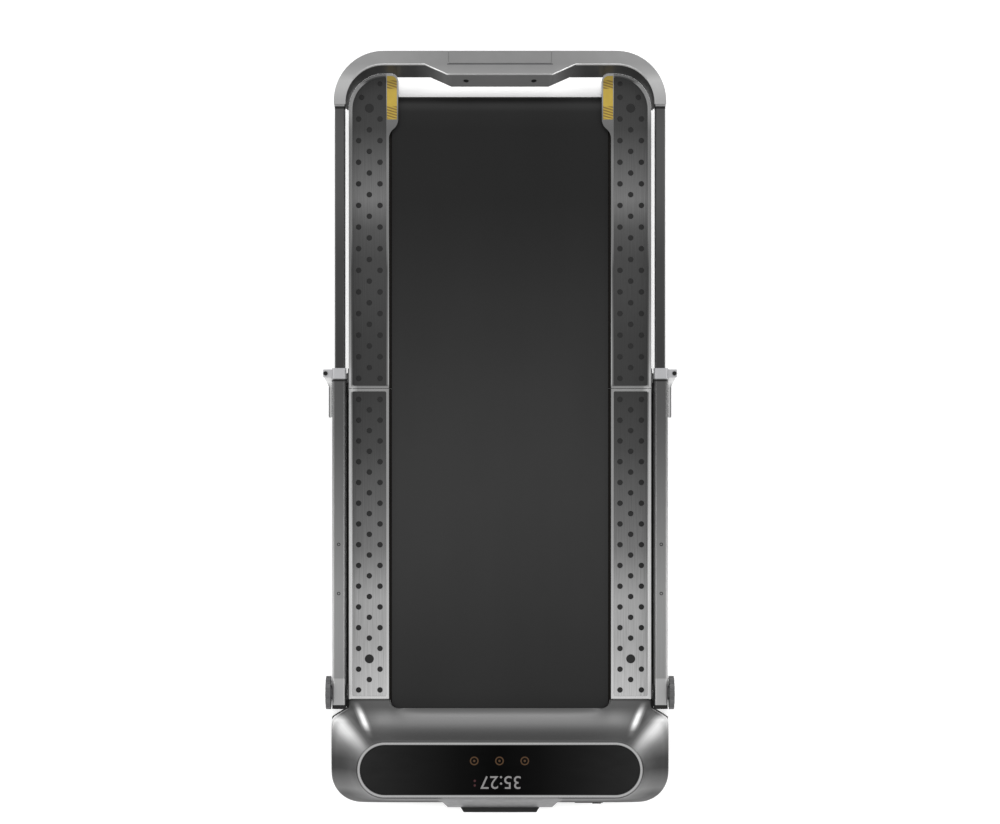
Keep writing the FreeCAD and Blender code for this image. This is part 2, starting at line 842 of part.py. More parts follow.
def deck_cushions(name, y):
    x_middle = beam_inner - d.ledge_width / 2
    x = (x_middle - d.cushion_width / 2, x_middle + d.cushion_width / 2)
    margin = d.cross_margin + d.cross_width / 2
    middles = (y[0] + margin, (y[0] + y[1]) / 2, y[1] - margin)
    right = []
    for middle in middles:
        span = (middle - d.cushion_length / 2, middle + d.cushion_length / 2)
        right.append(box(name + "_pad", x, span, (ledge_top, board_bottom)))
    left = [mirrored(name + "_pad_left", piece) for piece in right]
    sub_part(name, group(name, *right, *left))


def feet(name, ys):
    right = [rod(name + "_foot", "z", d.foot_radius, (foot_x, y, 0), pan_bottom) for y in ys]
    left = [mirrored(name + "_foot_left", piece) for piece in right]
    sub_part(name, group(name, *right, *left))


rear_pan_end = rear_roller_y - d.roller_radius / 2


def rear_pan():
    half = pan_half_width
    y = (rear_deck_start, rear_pan_end)
    sub_part("rear_pan", box("rear_pan", (-half, half), y, (pan_bottom, d.beam_bottom)))


# Motor hood, its tray, the display and the front bumper

panel_rear = rail_front - d.panel_rear_gap
panel_front = panel_rear - d.panel_width
land_front = panel_front - d.panel_land
HOOD_STEPS = ((0.0, 0.0), (0.14, 0.34), (0.42, 0.66), (0.78, 0.88), (1.0, 1.0))


def hood_outline(sketch, share, inset):
    """The hood's outline: full size at share 0, closing to the land round the panel at share 1."""
    def between(low, high):
        return low + (high - low) * share

    land = d.panel_land
    end_radius = (d.panel_width - d.panel_flat) / 2 + land
    half = between(hood_half_width, panel_half_width + land) - inset
    rear = between(hood_rear, panel_rear + land) - inset
    front = between(hood_front, panel_front - land) + inset
    corner = between(d.hood_corner, end_radius) - inset
    shoulder_y = between(hood_shoulder, panel_rear + land - end_radius)
    shoulder_x = between(rail_outer, panel_half_width + land - end_radius)
    shoulder_bend = between(hood_half_width, end_radius) - inset
    outline(sketch, [
        (half, front + corner),
        (half, shoulder_y, shoulder_bend),
        (shoulder_x, rear),
        (-shoulder_x, rear, shoulder_bend),
        (-half, shoulder_y),
        (-half, front + corner, corner),
        (corner - half, front),
        (half - corner, front, corner),
    ])


def hood_sections(body, inset, top):
    """Sketches up the hood: two at full size for the upright wall, then the steps up to its top."""
    levels = [(d.tray_top, 0)]
    levels += [(hood_waist + (top - hood_waist) * rise, share) for rise, share in HOOD_STEPS]
    sketches = []
    for level, share in levels:
        sketch = sketch_on(body, "XY_Plane", level)
        hood_outline(sketch, share, inset)
        sketches.append(sketch)
    return sketches


def hood_loft(name, inset, top):
    body = new_body(name)
    sketches = hood_sections(body, inset, top)
    doc.recompute()
    loft = body.newObject("PartDesign::AdditiveLoft", name + "_loft")
    loft.Profile = sketches[0]
    loft.Sections = sketches[1:]
    loft.Ruled = True
    return body


def hood_toe():
    """The part of the hood that meets the front end of a rail, curving out of its rear edge."""
    body = new_body("hood_toe")
    plan = sketch_on(body, "XY_Plane", slab_bottom)
    bend = d.toe_bend
    outline(plan, [
        (rail_inner - bend, hood_rear - d.toe_reach),
        (rail_outer, hood_rear - d.toe_reach),
        (rail_outer, rail_front),
        (rail_inner, rail_front),
        (rail_inner, hood_rear + bend, -bend),
        (rail_inner - bend, hood_rear),
    ])
    pad(body, plan, d.rail_slab)
    return body


def stadium(name, inset, z):
    """An upright block with round ends, the panel's outline drawn in by inset."""
    body = new_body(name)
    sketch = sketch_on(body, "XY_Plane", z[0])
    half = panel_half_width - inset
    radius = (d.panel_width - d.panel_flat) / 2 - inset
    rectangle(sketch, (-half, half), (panel_front + inset, panel_rear - inset), radius)
    pad(body, sketch, z[1] - z[0])
    return body


inlet_x = (d.inlet_x, d.inlet_x + d.inlet_width)
inlet_z = (d.inlet_bottom, d.inlet_bottom + d.inlet_height)


hood_form = hood_loft("hood_form", 0, hood_top)


def motor_hood():
    shell_top = hood_top - d.hood_wall
    toe = hood_toe()
    outside = fuse("hood_outside", hood_form, toe, mirrored("hood_toe_left", toe))
    inside = hood_loft("hood_hollow", d.hood_wall, shell_top)
    wide = rail_outer - d.hood_wall
    doorway = box(
        "hood_doorway", (-wide, wide), (hood_rear - 2 * d.hood_wall, rail_front + d.hood_wall),
        (d.tray_top - d.hood_wall, slab_bottom),
    )
    window = stadium("hood_window", 0, (shell_top - d.hood_wall, hood_top + d.hood_wall))
    inlet_hole = box("inlet_hole", inlet_x, (hood_front - d.hood_wall, hood_front + 2 * d.hood_wall), inlet_z)
    sub_part("motor_hood", cut("motor_hood", outside, inside, doorway, window, inlet_hole))


def display():
    top = hood_top + d.bezel_proud
    rim = stadium("bezel_rim", 0, (hood_top - d.bezel_depth, top))
    opening_z = (hood_top - 2 * d.bezel_depth, hood_top + d.bezel_depth)
    opening = stadium("bezel_opening", d.bezel_width, opening_z)
    sub_part("display_bezel", cut("display_bezel", rim, opening))
    lens_bottom = hood_top - d.lens_thickness
    sub_part("display_lens", stadium("display_lens", d.bezel_width, (lens_bottom, hood_top)))
    half = d.display_board_half_width
    middle = (panel_rear + panel_front) / 2
    y = (middle - d.display_board_length / 2, middle + d.display_board_length / 2)
    z = (lens_bottom - d.display_board_thickness, lens_bottom)
    sub_part("display_board", box("display_board", (-half, half), y, z))


wheel_y = hood_front + d.wheel_setback
wheel_span = (wheel_x - d.wheel_width / 2, wheel_x + d.wheel_width / 2)
well_x = (wheel_span[0] - d.wheel_side_gap, wheel_span[1] + d.wheel_side_gap)
well_y = (wheel_y - d.wheel_radius - d.wheel_room, wheel_y + d.wheel_radius + d.wheel_room)


def base_pan():
    """The bottom plate with a tray under the hood, wheel slots, and the wheels' axles moulded on."""
    tray = new_body("hood_tray")
    full = sketch_on(tray, "XY_Plane", pan_bottom)
    hood_outline(full, 0, 0)
    pad(tray, full, d.tray_top - pan_bottom)
    room = sketch_on(tray, "XY_Plane", d.tray_top)
    hood_outline(room, 0, d.hood_wall)
    pocket(tray, room, d.tray_top - d.beam_bottom)
    wide = rail_outer - d.hood_wall
    doorway = box(
        "tray_doorway", (-wide, wide), (hood_rear - 2 * d.hood_wall, hood_rear + d.hood_wall),
        (d.beam_bottom, d.tray_top + d.hood_wall),
    )
    half = pan_half_width
    plate = box("pan_plate", (-half, half), (hood_rear, front_deck_end), (pan_bottom, d.beam_bottom))
    slot = box("wheel_slot", well_x, well_y, (pan_bottom - d.pan_thickness, d.tray_top + d.pan_thickness))
    axle_length = well_x[1] - well_x[0] + 2 * d.hood_wall
    axle_start = (well_x[0] - d.hood_wall, wheel_y, d.wheel_height)
    axle = rod("wheel_axle", "x", d.wheel_axle_radius, axle_start, axle_length)
    rib_top = d.wheel_height + 2 * d.wheel_axle_radius
    ribs = []
    for x in ((well_x[0] - d.hood_wall, well_x[0]), (well_x[1], well_x[1] + d.hood_wall)):
        ribs.append(box("wheel_rib", x, well_y, (pan_bottom, rib_top)))
    open_tray = cut("open_tray", tray, doorway, slot, mirrored("wheel_slot_left", slot))
    right = [axle] + ribs
    left = [mirrored("wheel_rib_left", piece) for piece in right]
    sub_part("base_pan", fuse("base_pan", open_tray, plate, *right, *left))


def transport_wheel():
    start = (wheel_span[0], wheel_y, d.wheel_height)
    tread = rod("wheel_tread", "x", d.wheel_radius, start, d.wheel_width)
    bore = rod("wheel_bore", "x", d.wheel_axle_radius + d.running_clearance, start, d.wheel_width)
    left_and_right("transport_wheel", cut("transport_wheel", tread, bore))


def bumper_side():
    """The bumper's side view, sloping from the edge of the panel's land down to its front."""
    body = new_body("bumper_side")
    side = sketch_on(body, "YZ_Plane", -d.bumper_half_width)
    outline(side, [
        (bumper_front, d.bumper_bottom),
        (hood_front, d.bumper_bottom),
        (hood_front, hood_waist),
        (land_front, hood_waist),
        (land_front, hood_top),
        (bumper_front, d.bumper_bottom + d.bumper_height),
    ])
    pad(body, side, 2 * d.bumper_half_width)
    return body


def bumper_plan():
    """The bumper's top view, narrower at its front."""
    body = new_body("bumper_plan")
    plan = sketch_on(body, "XY_Plane", d.bumper_bottom)
    wide = d.bumper_half_width
    narrow = wide - d.bumper_taper
    outline(plan, [
        (-wide, land_front), (-narrow, bumper_front), (narrow, bumper_front), (wide, land_front),
    ])
    pad(body, plan, hood_top)
    return body


def front_bumper():
    lip = common("bumper_form", bumper_side(), bumper_plan())
    sub_part("front_bumper", cut("front_bumper", lip, hood_form))


def bumper_pad():
    half = d.bumper_pad_half_width
    middle = d.bumper_bottom + d.bumper_height / 2
    y = (bumper_front - d.bumper_pad_depth, bumper_front)
    z = (middle - d.bumper_pad_height / 2, middle + d.bumper_pad_height / 2)
    sub_part("bumper_pad", box("bumper_pad", (-half, half), y, z))


# Power inlet with its rocker switch

inlet_face = hood_front - d.inlet_flange
rocker_end = inlet_x[1] - d.inlet_lip - d.rocker_gap
rocker_x = (rocker_end - d.rocker_width, rocker_end)
rocker_y = (inlet_face - d.rocker_proud, inlet_face - d.rocker_proud + d.rocker_thickness)
rocker_pin_y = rocker_y[0] + d.rocker_thickness * 0.7
rocker_middle_z = (inlet_z[0] + inlet_z[1]) / 2


def power_inlet():
    block = box("inlet_block", inlet_x, (inlet_face, inlet_face + d.inlet_depth), inlet_z)
    socket_x = (inlet_x[0] + d.inlet_lip, inlet_x[0] + d.inlet_lip + d.socket_width)
    socket_z = (inlet_z[0] + d.inlet_lip, inlet_z[1] - d.inlet_lip)
    socket = box("inlet_socket", socket_x, (inlet_face - 1, inlet_face + d.socket_depth), socket_z)
    room_x = (rocker_x[0] - d.rocker_gap, rocker_x[1] + d.rocker_gap)
    half = d.rocker_height / 2 + d.rocker_swing
    room_z = (rocker_middle_z - half, rocker_middle_z + half)
    room_y = (inlet_face - 1, rocker_y[1] + d.rocker_swing)
    room = box("rocker_room", room_x, room_y, room_z)
    pin_room = rocker_pin("rocker_pin_room", d.running_clearance)
    sub_part("power_inlet", cut("power_inlet", block, socket, room, pin_room))


def rocker_pin(name, clearance):
    start_x = rocker_x[0] - d.rocker_pin_length - clearance
    length = d.rocker_width + 2 * d.rocker_pin_length + 2 * clearance
    radius = d.rocker_pin_radius + clearance
    return rod(name, "x", radius, (start_x, rocker_pin_y, rocker_middle_z), length)


def power_rocker():
    half = d.rocker_height / 2
    key = box("rocker_key", rocker_x, rocker_y, (rocker_middle_z - half, rocker_middle_z + half))
    sub_part("power_rocker", fuse("power_rocker", key, rocker_pin("rocker_pin", 0)))


# Walking belt, rollers and drive

def belt_half(name, roller_y, seam_y):
    """One half of the belt: both runs and the turn round the roller."""
    half = d.belt_half_width
    low, high = sorted((roller_y, seam_y), key=number)

    def layer(radius, title, reach):
        runs = box(title, (-reach, reach), (low, high), (roller_height - radius, roller_height + radius))
        turn = rod(title + "_turn", "x", radius, (-reach, roller_y, roller_height), 2 * reach)
        return fuse(title + "_loop", runs, turn)

    outside = layer(belt_outer_radius, name + "_outside", half)
    inside = layer(belt_inner_radius, name + "_inside", half)
    sub_part(name, cut(name, outside, inside))


def roller(name, y):
    """A roller tube with a bearing pressed into each end."""
    half = roller_half_length
    start = (-half, y, roller_height)
    bore_radius = d.roller_radius - d.roller_wall
    skin = rod(name + "_skin", "x", d.roller_radius, start, 2 * half)
    bore = rod(name + "_bore", "x", bore_radius, start, 2 * half)
    tube = cut(name + "_shell", skin, bore)
    bearing_start = (half - d.bearing_width, y, roller_height)
    race = rod(name + "_race", "x", bore_radius, bearing_start, d.bearing_width)
    hole_radius = d.roller_shaft_radius + d.running_clearance
    hole = rod(name + "_hole", "x", hole_radius, bearing_start, d.bearing_width)
    bearing = cut(name + "_bearing", race, hole)
    sub_part(name + "_tube", group(name + "_tube", tube, bearing, mirrored(name + "_bearing_left", bearing)))


def roller_shaft(name, y):
    start = (-shaft_half_length, y, roller_height)
    return rod(name, "x", d.roller_shaft_radius, start, 2 * shaft_half_length)


def rear_roller_shaft():
    """The rear roller's shaft with the two bolts that push it back to tension the belt."""
    bolt = belt_tension_bolt()
    left_bolt = mirrored("tension_bolt_left", bolt)
    shaft = roller_shaft("rear_shaft", rear_roller_y)
    sub_part("rear_roller_shaft", group("rear_roller_shaft", shaft, bolt, left_bolt))


pulley_start = roller_half_length
belt_track_x = pulley_start + d.drive_pulley_width / 2


def drive_pulley():
    start = (pulley_start, front_roller_y, roller_height)
    wheel = rod("pulley_wheel", "x", d.drive_pulley_radius, start, d.drive_pulley_width)
    hole_radius = d.roller_shaft_radius + d.belt_clearance
    hole = rod("pulley_hole", "x", hole_radius, start, d.drive_pulley_width)
    sub_part("drive_roller_pulley", cut("drive_roller_pulley", wheel, hole))


def motor():
    start = (motor_x[0], motor_y, motor_height)
    can = rod("motor_can", "x", d.motor_radius, start, d.motor_length)
    bore_start = (motor_x[1] - d.motor_shaft_depth, motor_y, motor_height)
    bore_radius = d.motor_shaft_radius + d.running_clearance
    bore = rod("motor_bore", "x", bore_radius, bore_start, d.motor_shaft_depth)
    sub_part("motor_body", cut("motor_body", can, bore))
    shaft_length = d.motor_shaft_depth + d.flywheel_width + d.drive_pulley_width
    shaft = rod("motor_shaft", "x", d.motor_shaft_radius, bore_start, shaft_length)
    wheel_start = (motor_x[1] + d.belt_clearance, motor_y, motor_height)
    wheel = rod("flywheel", "x", d.flywheel_radius, wheel_start, d.flywheel_width - d.belt_clearance)
    pulley = rod(
        "motor_pulley", "x", d.motor_pulley_radius,
        (pulley_start, motor_y, motor_height), d.drive_pulley_width,
    )
    sub_part("motor_flywheel", fuse("motor_flywheel", shaft, wheel, pulley))


def belt_loop(first, first_radius, second, second_radius):
    """A face bounded by two arcs and the two straight runs that touch them."""
    along = second - first
    lean = math.acos((first_radius - second_radius) / along.Length)
    heading = math.atan2(along.y, along.x)

    def on(centre, radius, angle):
        return centre + Vector(math.cos(angle), math.sin(angle), 0) * radius

    edges = [
        Part.LineSegment(on(first, first_radius, heading + lean), on(second, second_radius, heading + lean)),
        Part.Arc(
            on(second, second_radius, heading + lean),
            on(second, second_radius, heading),
            on(second, second_radius, heading - lean),
        ),
        Part.LineSegment(on(second, second_radius, heading - lean), on(first, first_radius, heading - lean)),
        Part.Arc(
            on(first, first_radius, heading - lean),
            on(first, first_radius, heading + math.pi),
            on(first, first_radius, heading + lean),
        ),
    ]
    return Part.Face(Part.Wire([edge.toShape() for edge in edges]))


def drive_belt():
    """The closed loop between the motor pulley and the roller pulley, drawn flat and stood on edge."""
    roller_centre = Vector(front_roller_y.value, roller_height.value, 0)
    motor_centre = Vector(motor_y.value, motor_height.value, 0)
    radii = [d.drive_pulley_radius + d.belt_clearance, d.motor_pulley_radius + d.belt_clearance]
    inner = belt_loop(roller_centre, radii[0].value, motor_centre, radii[1].value)
    thick = d.drive_belt_thickness.value
    outer = belt_loop(roller_centre, radii[0].value + thick, motor_centre, radii[1].value + thick)
    band = outer.cut(inner).extrude(Vector(0, 0, d.drive_belt_width.value))
    piece = doc.addObject("Part::Feature", "drive_belt")
    piece.Shape = band
    stand = Rotation(Vector(0, 1, 0), Vector(0, 0, 1), Vector(1, 0, 0))
    piece.Placement = Placement(Vector(), stand)
    bind(piece, "Placement.Base.x", belt_track_x - d.drive_belt_width / 2)
    sub_part("drive_belt", piece)


def motor_controller():
    """A circuit board on standoffs, carrying a finned heat sink."""
    x = (-beam_inner + d.cradle_margin, -beam_inner + d.cradle_margin + d.controller_width)
    y = (motor_plate_y[0], motor_plate_y[0] + d.controller_length)
    board_bottom_z = motor_plate_top + d.controller_standoff
    board_z = (board_bottom_z, board_bottom_z + d.controller_board)
    pieces = [box("controller_card", x, y, board_z)]
    inset = 2 * d.standoff_radius
    for post_x in (x[0] + inset, x[1] - inset):
        for post_y in (y[0] + inset, y[1] - inset):
            start = (post_x, post_y, motor_plate_top)
            pieces.append(rod("controller_post", "z", d.standoff_radius, start, d.controller_standoff))
    card = fuse("controller_board", *pieces)
    sink_base = box("sink_base", x, y, (board_z[1], board_z[1] + d.heatsink_base))
    fin_z = (board_z[1] + d.heatsink_base, board_z[1] + d.heatsink_height)
    fins = []
    fin_count = int(d.heatsink_fins.value)
    for i in range(fin_count):
        fin_y = y[0] + (d.controller_length - d.heatsink_fin) * (i / (fin_count - 1))
        fins.append(box("sink_fin", x, (fin_y, fin_y + d.heatsink_fin), fin_z))
    sub_part("motor_controller", group("motor_controller", card, fuse("heat_sink", sink_base, *fins)))


# Deck hinge and side plates

def hinge_ear(name, x):
    """A round ear about the deck hinge, down to the top of the side plate."""
    radius = d.hinge_ear_radius
    length = x[1] - x[0]
    ear = rod(name, "x", radius, (x[0], d.hinge_y, hinge_height), length)
    neck = box(name + "_neck", x, (d.hinge_y - radius, d.hinge_y + radius), (d.skirt_bottom, hinge_height))
    return [ear, neck]


def hinge_hole(name, x):
    radius = d.hinge_pin_radius + d.running_clearance
    return rod(name, "x", radius, (x[0], d.hinge_y, hinge_height), x[1] - x[0])


def side_plate():
    """The front half's side plate: it carries the deck hinge and the handrail's pivot."""
    x = side_plate_x
    length = x[1] - x[0]
    front = pivot_y - d.pivot_ear_radius
    web = box("side_web", x, (front, d.hinge_y), (d.skirt_bottom, side_plate_top))
    ear = rod("pivot_ear", "x", d.pivot_ear_radius, (x[0], pivot_y, pivot_height), length)
    neck_y = (front, pivot_y + d.pivot_ear_radius)
    neck = box("pivot_neck", x, neck_y, (d.skirt_bottom, pivot_height))
    spacer_y = (pivot_y + 2 * d.pivot_ear_radius, d.hinge_y - d.spacer_end_gap)
    spacer = box("side_spacer", (rail_outer, x[0]), spacer_y, (d.skirt_bottom, slab_bottom))
    plate = fuse("side_plate_form", web, ear, neck, spacer, *hinge_ear("front_ear", x))
    bolt_hole = rod("pivot_hole", "x", d.pivot_bolt_radius, (x[0], pivot_y, pivot_height), length)
    pin_hole = rod("pin_hole", "x", d.hinge_pin_radius, (x[0], d.hinge_y, hinge_height), length)
    left_and_right("side_plate", cut("side_plate", plate, bolt_hole, pin_hole))


def rear_hinge_plates():
    x = rear_plate_x
    y = (d.hinge_y - d.hinge_ear_radius, d.hinge_y + d.rear_plate_reach)
    web = box("hinge_web", x, y, (d.skirt_bottom, slab_bottom))
    plate = fuse("rear_hinge_form", web, *hinge_ear("rear_ear", x))
    pair("rear_hinge_plates", cut("rear_hinge_plate", plate, hinge_hole("rear_pin_hole", x)))


def deck_hinge_pins():
    start = (rear_plate_x[0], d.hinge_y, hinge_height)
    pin = rod("deck_hinge_pin", "x", d.hinge_pin_radius, start, side_plate_x[1] - rear_plate_x[0])
    pair("deck_hinge_pins", pin)


# Handrail uprights, their pivots and their clamps

def shrink(section, amount):
    """A section made smaller all round: its X span, its height and its corner radius."""
    x, height, corner = section
    return (x[0] + amount, x[1] - amount), height - 2 * amount, corner - amount


# The outer tube's bore lies nearer the rail, as its outer wall is the thick one that carries the clamp.
outer_section = ((tube_inner_x, tube_outer_x), d.tube_height, d.tube_corner)
bore_x = (tube_inner_x + d.tube_inner_wall, tube_outer_x - d.tube_outer_wall)
bore_section = (bore_x, d.tube_height - 2 * d.tube_wall, d.tube_corner - d.tube_wall)
inner_section = shrink(bore_section, d.tube_clearance)
inner_hollow = shrink(inner_section, d.inner_tube_wall)


def tube_sketch(sketch, section):
    x, height, corner = section
    rectangle(sketch, x, (pivot_height - height / 2, pivot_height + height / 2), corner)


def upright_tube(name, outside, inside, y):
    """A hollow tube along Y with rounded corners."""
    body = new_body(name)
    sketch = sketch_on(body, "XZ_Plane", -y[1])
    tube_sketch(sketch, outside)
    tube_sketch(sketch, inside)
    pad(body, sketch, y[1] - y[0])
    return body


def upright_block(name, section, y):
    body = new_body(name)
    sketch = sketch_on(body, "XZ_Plane", -y[1])
    tube_sketch(sketch, section)
    pad(body, sketch, y[1] - y[0])
    return body


def uprights():
    outer_y = (outer_tube_start, outer_tube_end)
    pair("upright_tubes_outer", upright_tube("upright_outer", outer_section, bore_section, outer_y))
    inner_y = (outer_tube_end - d.inner_tube_overlap, bar_arm_y)
    pair("upright_tubes_inner", upright_tube("upright_inner", inner_section, inner_hollow, inner_y))


def pivot_blocks():
    block_y = (pivot_y - d.pivot_block_front, outer_tube_start)
    block = upright_block("pivot_block", outer_section, block_y)
    bore = rod(
        "pivot_bore", "x", d.pivot_bolt_radius + d.running_clearance,
        (tube_inner_x, pivot_y, pivot_height), d.tube_width,
    )
    pair("pivot_blocks", cut("pivot_block_bored", block, bore))
    cap_y = (block_y[0] - d.pivot_cap, block_y[0])
    pair("pivot_caps", upright_block("pivot_cap", outer_section, cap_y))


def pivot_bolts():
    head_start = (side_plate_x[0] - d.pivot_head, pivot_y, pivot_height)
    head = rod("pivot_head", "x", d.pivot_head_radius, head_start, d.pivot_head)
    shank_start = (side_plate_x[0], pivot_y, pivot_height)
    shank_end = knob_x[0] + d.knob_bore_depth - d.knob_gap
    shank = rod("pivot_shank", "x", d.pivot_bolt_radius, shank_start, shank_end - side_plate_x[0])
    pair("pivot_bolts", fuse("pivot_bolt", head, shank))


knob_x = (tube_outer_x + d.knob_gap, tube_outer_x + d.knob_gap + d.knob_hub + d.knob_width)


def pivot_knob():
    """A fluted hand knob on the pivot bolt."""
    disc_start = knob_x[0] + d.knob_hub
    disc = rod("knob_disc", "x", d.knob_radius, (disc_start, pivot_y, pivot_height), d.knob_width)
    hub = rod("knob_hub", "x", d.knob_hub_radius, (knob_x[0], pivot_y, pivot_height), d.knob_hub)
    bore_radius = d.pivot_bolt_radius + d.running_clearance
    bore = rod("knob_bore", "x", bore_radius, (knob_x[0], pivot_y, pivot_height), d.knob_bore_depth)
    reach = d.knob_radius + d.knob_flute_radius - d.knob_flute_depth
    flutes = []
    flute_count = int(d.knob_flutes.value)
    for i in range(flute_count):
        angle = 2 * math.pi * (i + 0.5) / flute_count
        start = (
            disc_start,
            pivot_y + reach * math.cos(angle),
            pivot_height + reach * math.sin(angle),
        )
        flutes.append(rod("knob_flute", "x", d.knob_flute_radius, start, d.knob_width))
    left_and_right("pivot_knob", cut("pivot_knob", fuse("knob_form", disc, hub), bore, *flutes))


lug_y = (outer_tube_end + d.lug_inset, collar_end - d.lug_inset)
clamp_pin_y = (lug_y[0] + lug_y[1]) / 2
lug_low = (pivot_height - d.lug_gap / 2 - d.lug_height, pivot_height - d.lug_gap / 2)
lug_high = (pivot_height + d.lug_gap / 2, pivot_height + d.lug_gap / 2 + d.lug_height)


def clamp_collars():
    """The collar at the mouth of the outer tube, with two lugs for the clamp lever."""
    y = (outer_tube_end, collar_end)
    half_proud = d.collar_proud / 2
    ring_x = (tube_inner_x - half_proud, tube_outer_x + half_proud)
    ring_section = (ring_x, d.tube_height + 2 * d.collar_proud, d.tube_corner)
    ring = upright_tube("clamp_ring", ring_section, bore_section, y)
    lug_x = (tube_outer_x - d.tube_wall / 2, tube_outer_x + d.lug_reach)
    lugs = [box("clamp_lug", lug_x, lug_y, z) for z in (lug_low, lug_high)]
    pin_hole = clamp_pin("clamp_pin_hole", d.clamp_pin_radius)
    pair("clamp_collars", cut("clamp_collar", fuse("clamp_form", ring, *lugs), pin_hole))


def clamp_pin(name, radius):
    return rod(name, "z", radius, (clamp_pin_x, clamp_pin_y, lug_low[0]), lug_high[1] - lug_low[0])


def clamp_pins():
    head_start = (clamp_pin_x, clamp_pin_y, lug_high[1])
    head = rod("clamp_head", "z", d.clamp_head_radius, head_start, d.clamp_head)
    pair("clamp_pins", fuse("clamp_pin", clamp_pin("clamp_shank", d.clamp_pin_radius), head))


def clamp_lever():
    """A quick-release lever that lies along the outer tube."""
    z = (lug_low[1] + d.lever_clearance, lug_high[0] - d.lever_clearance)
    body = new_body("lever_arm")
    plan = sketch_on(body, "XY_Plane", z[0])
    tip_y = clamp_pin_y - d.lever_length
    tip = d.lever_tip_radius
    inside = tube_outer_x + 2 * d.collar_proud
    outside = inside + d.lever_width
    outline(plan, [
        (inside + tip, tip_y),
        (outside - tip, tip_y, tip),
        (outside, tip_y + tip),
        (outside, clamp_pin_y - d.lever_flare),
        (clamp_pin_x + d.lever_hub_radius, clamp_pin_y),
        (inside, clamp_pin_y),
        (inside, tip_y + tip, tip),
    ])
    pad(body, plan, z[1] - z[0])
    hub = rod("lever_hub", "z", d.lever_hub_radius, (clamp_pin_x, clamp_pin_y, z[0]), z[1] - z[0])
    hole = clamp_pin("lever_hole", d.clamp_pin_radius + d.running_clearance)
    left_and_right("clamp_lever", cut("clamp_lever", fuse("lever_form", body, hub), hole))


# Handlebar, its ferrules and screws, and the phone flap

BAR_STEP_SLOPE = 2.25


def handlebar_outline(sketch, top):
    """The bar's outline at its top or bottom: the outer edge is the same, the inner edge leans in."""
    outer_x = inner_section[0][1] + d.bar_arm_proud
    draft = 0 if top else d.bar_arm_draft
    inner_x = inner_section[0][0] - d.bar_arm_proud - draft
    corner = d.bar_top_inner_corner if top else d.bar_inner_corner
    inner_y = bar_rear - (d.bar_top_width if top else bar_bottom_width)
    grip_depth = d.bar_top_grip_depth if top else d.bar_grip_depth
    grip_y = inner_y - grip_depth
    step_inner = d.bar_step_inner + (d.bar_step_draft if top else 0)
    step_outer = step_inner + grip_depth * BAR_STEP_SLOPE
    outline(sketch, [
        (outer_x, bar_arm_y),
        (outer_x, bar_rear - d.bar_corner, d.bar_corner),
        (outer_x - d.bar_corner, bar_rear),
        (d.bar_corner - outer_x, bar_rear, d.bar_corner),
        (-outer_x, bar_rear - d.bar_corner),
        (-outer_x, bar_arm_y),
        (-inner_x, bar_arm_y),
        (-inner_x, inner_y - corner, -corner),
        (corner - inner_x, inner_y),
        (-step_outer, inner_y),
        (-step_inner, grip_y),
        (step_inner, grip_y),
        (step_outer, inner_y),
        (inner_x - corner, inner_y, -corner),
        (inner_x, inner_y - corner),
        (inner_x, bar_arm_y),
    ])


def handlebar_form():
    body = new_body("handlebar_form")
    low = sketch_on(body, "XY_Plane", tube_bottom)
    handlebar_outline(low, top=False)
    high = sketch_on(body, "XY_Plane", tube_top)
    handlebar_outline(high, top=True)
    doc.recompute()
    loft = body.newObject("PartDesign::AdditiveLoft", "handlebar_loft")
    loft.Profile = low
    loft.Sections = [high]
    loft.Ruled = True
    return body


flap_y = (bar_rear - d.flap_depth, bar_rear)
flap_z = (tube_top - d.flap_thickness, tube_top)
flap_pin_radius = d.flap_thickness / 2
flap_pin_y = flap_y[0]
flap_pin_z = tube_top - d.flap_thickness / 2


def flap_pin(name, clearance):
    half = d.flap_half_width + d.flap_pin_length + clearance
    start = (-half, flap_pin_y, flap_pin_z)
    return rod(name, "x", flap_pin_radius + clearance, start, 2 * half)


def bar_screw(name, x, radius, length):
    start = (x, screw_face_y + d.bar_screw_inset, pivot_height)
    return rod(name, "y", radius, start, length)


bar_lean = (bar_bottom_width + d.bar_grip_depth - d.bar_top_width - d.bar_top_grip_depth) / d.tube_height
screw_face_y = bar_bottom_inner - d.bar_grip_depth + bar_lean * (pivot_height - tube_bottom)


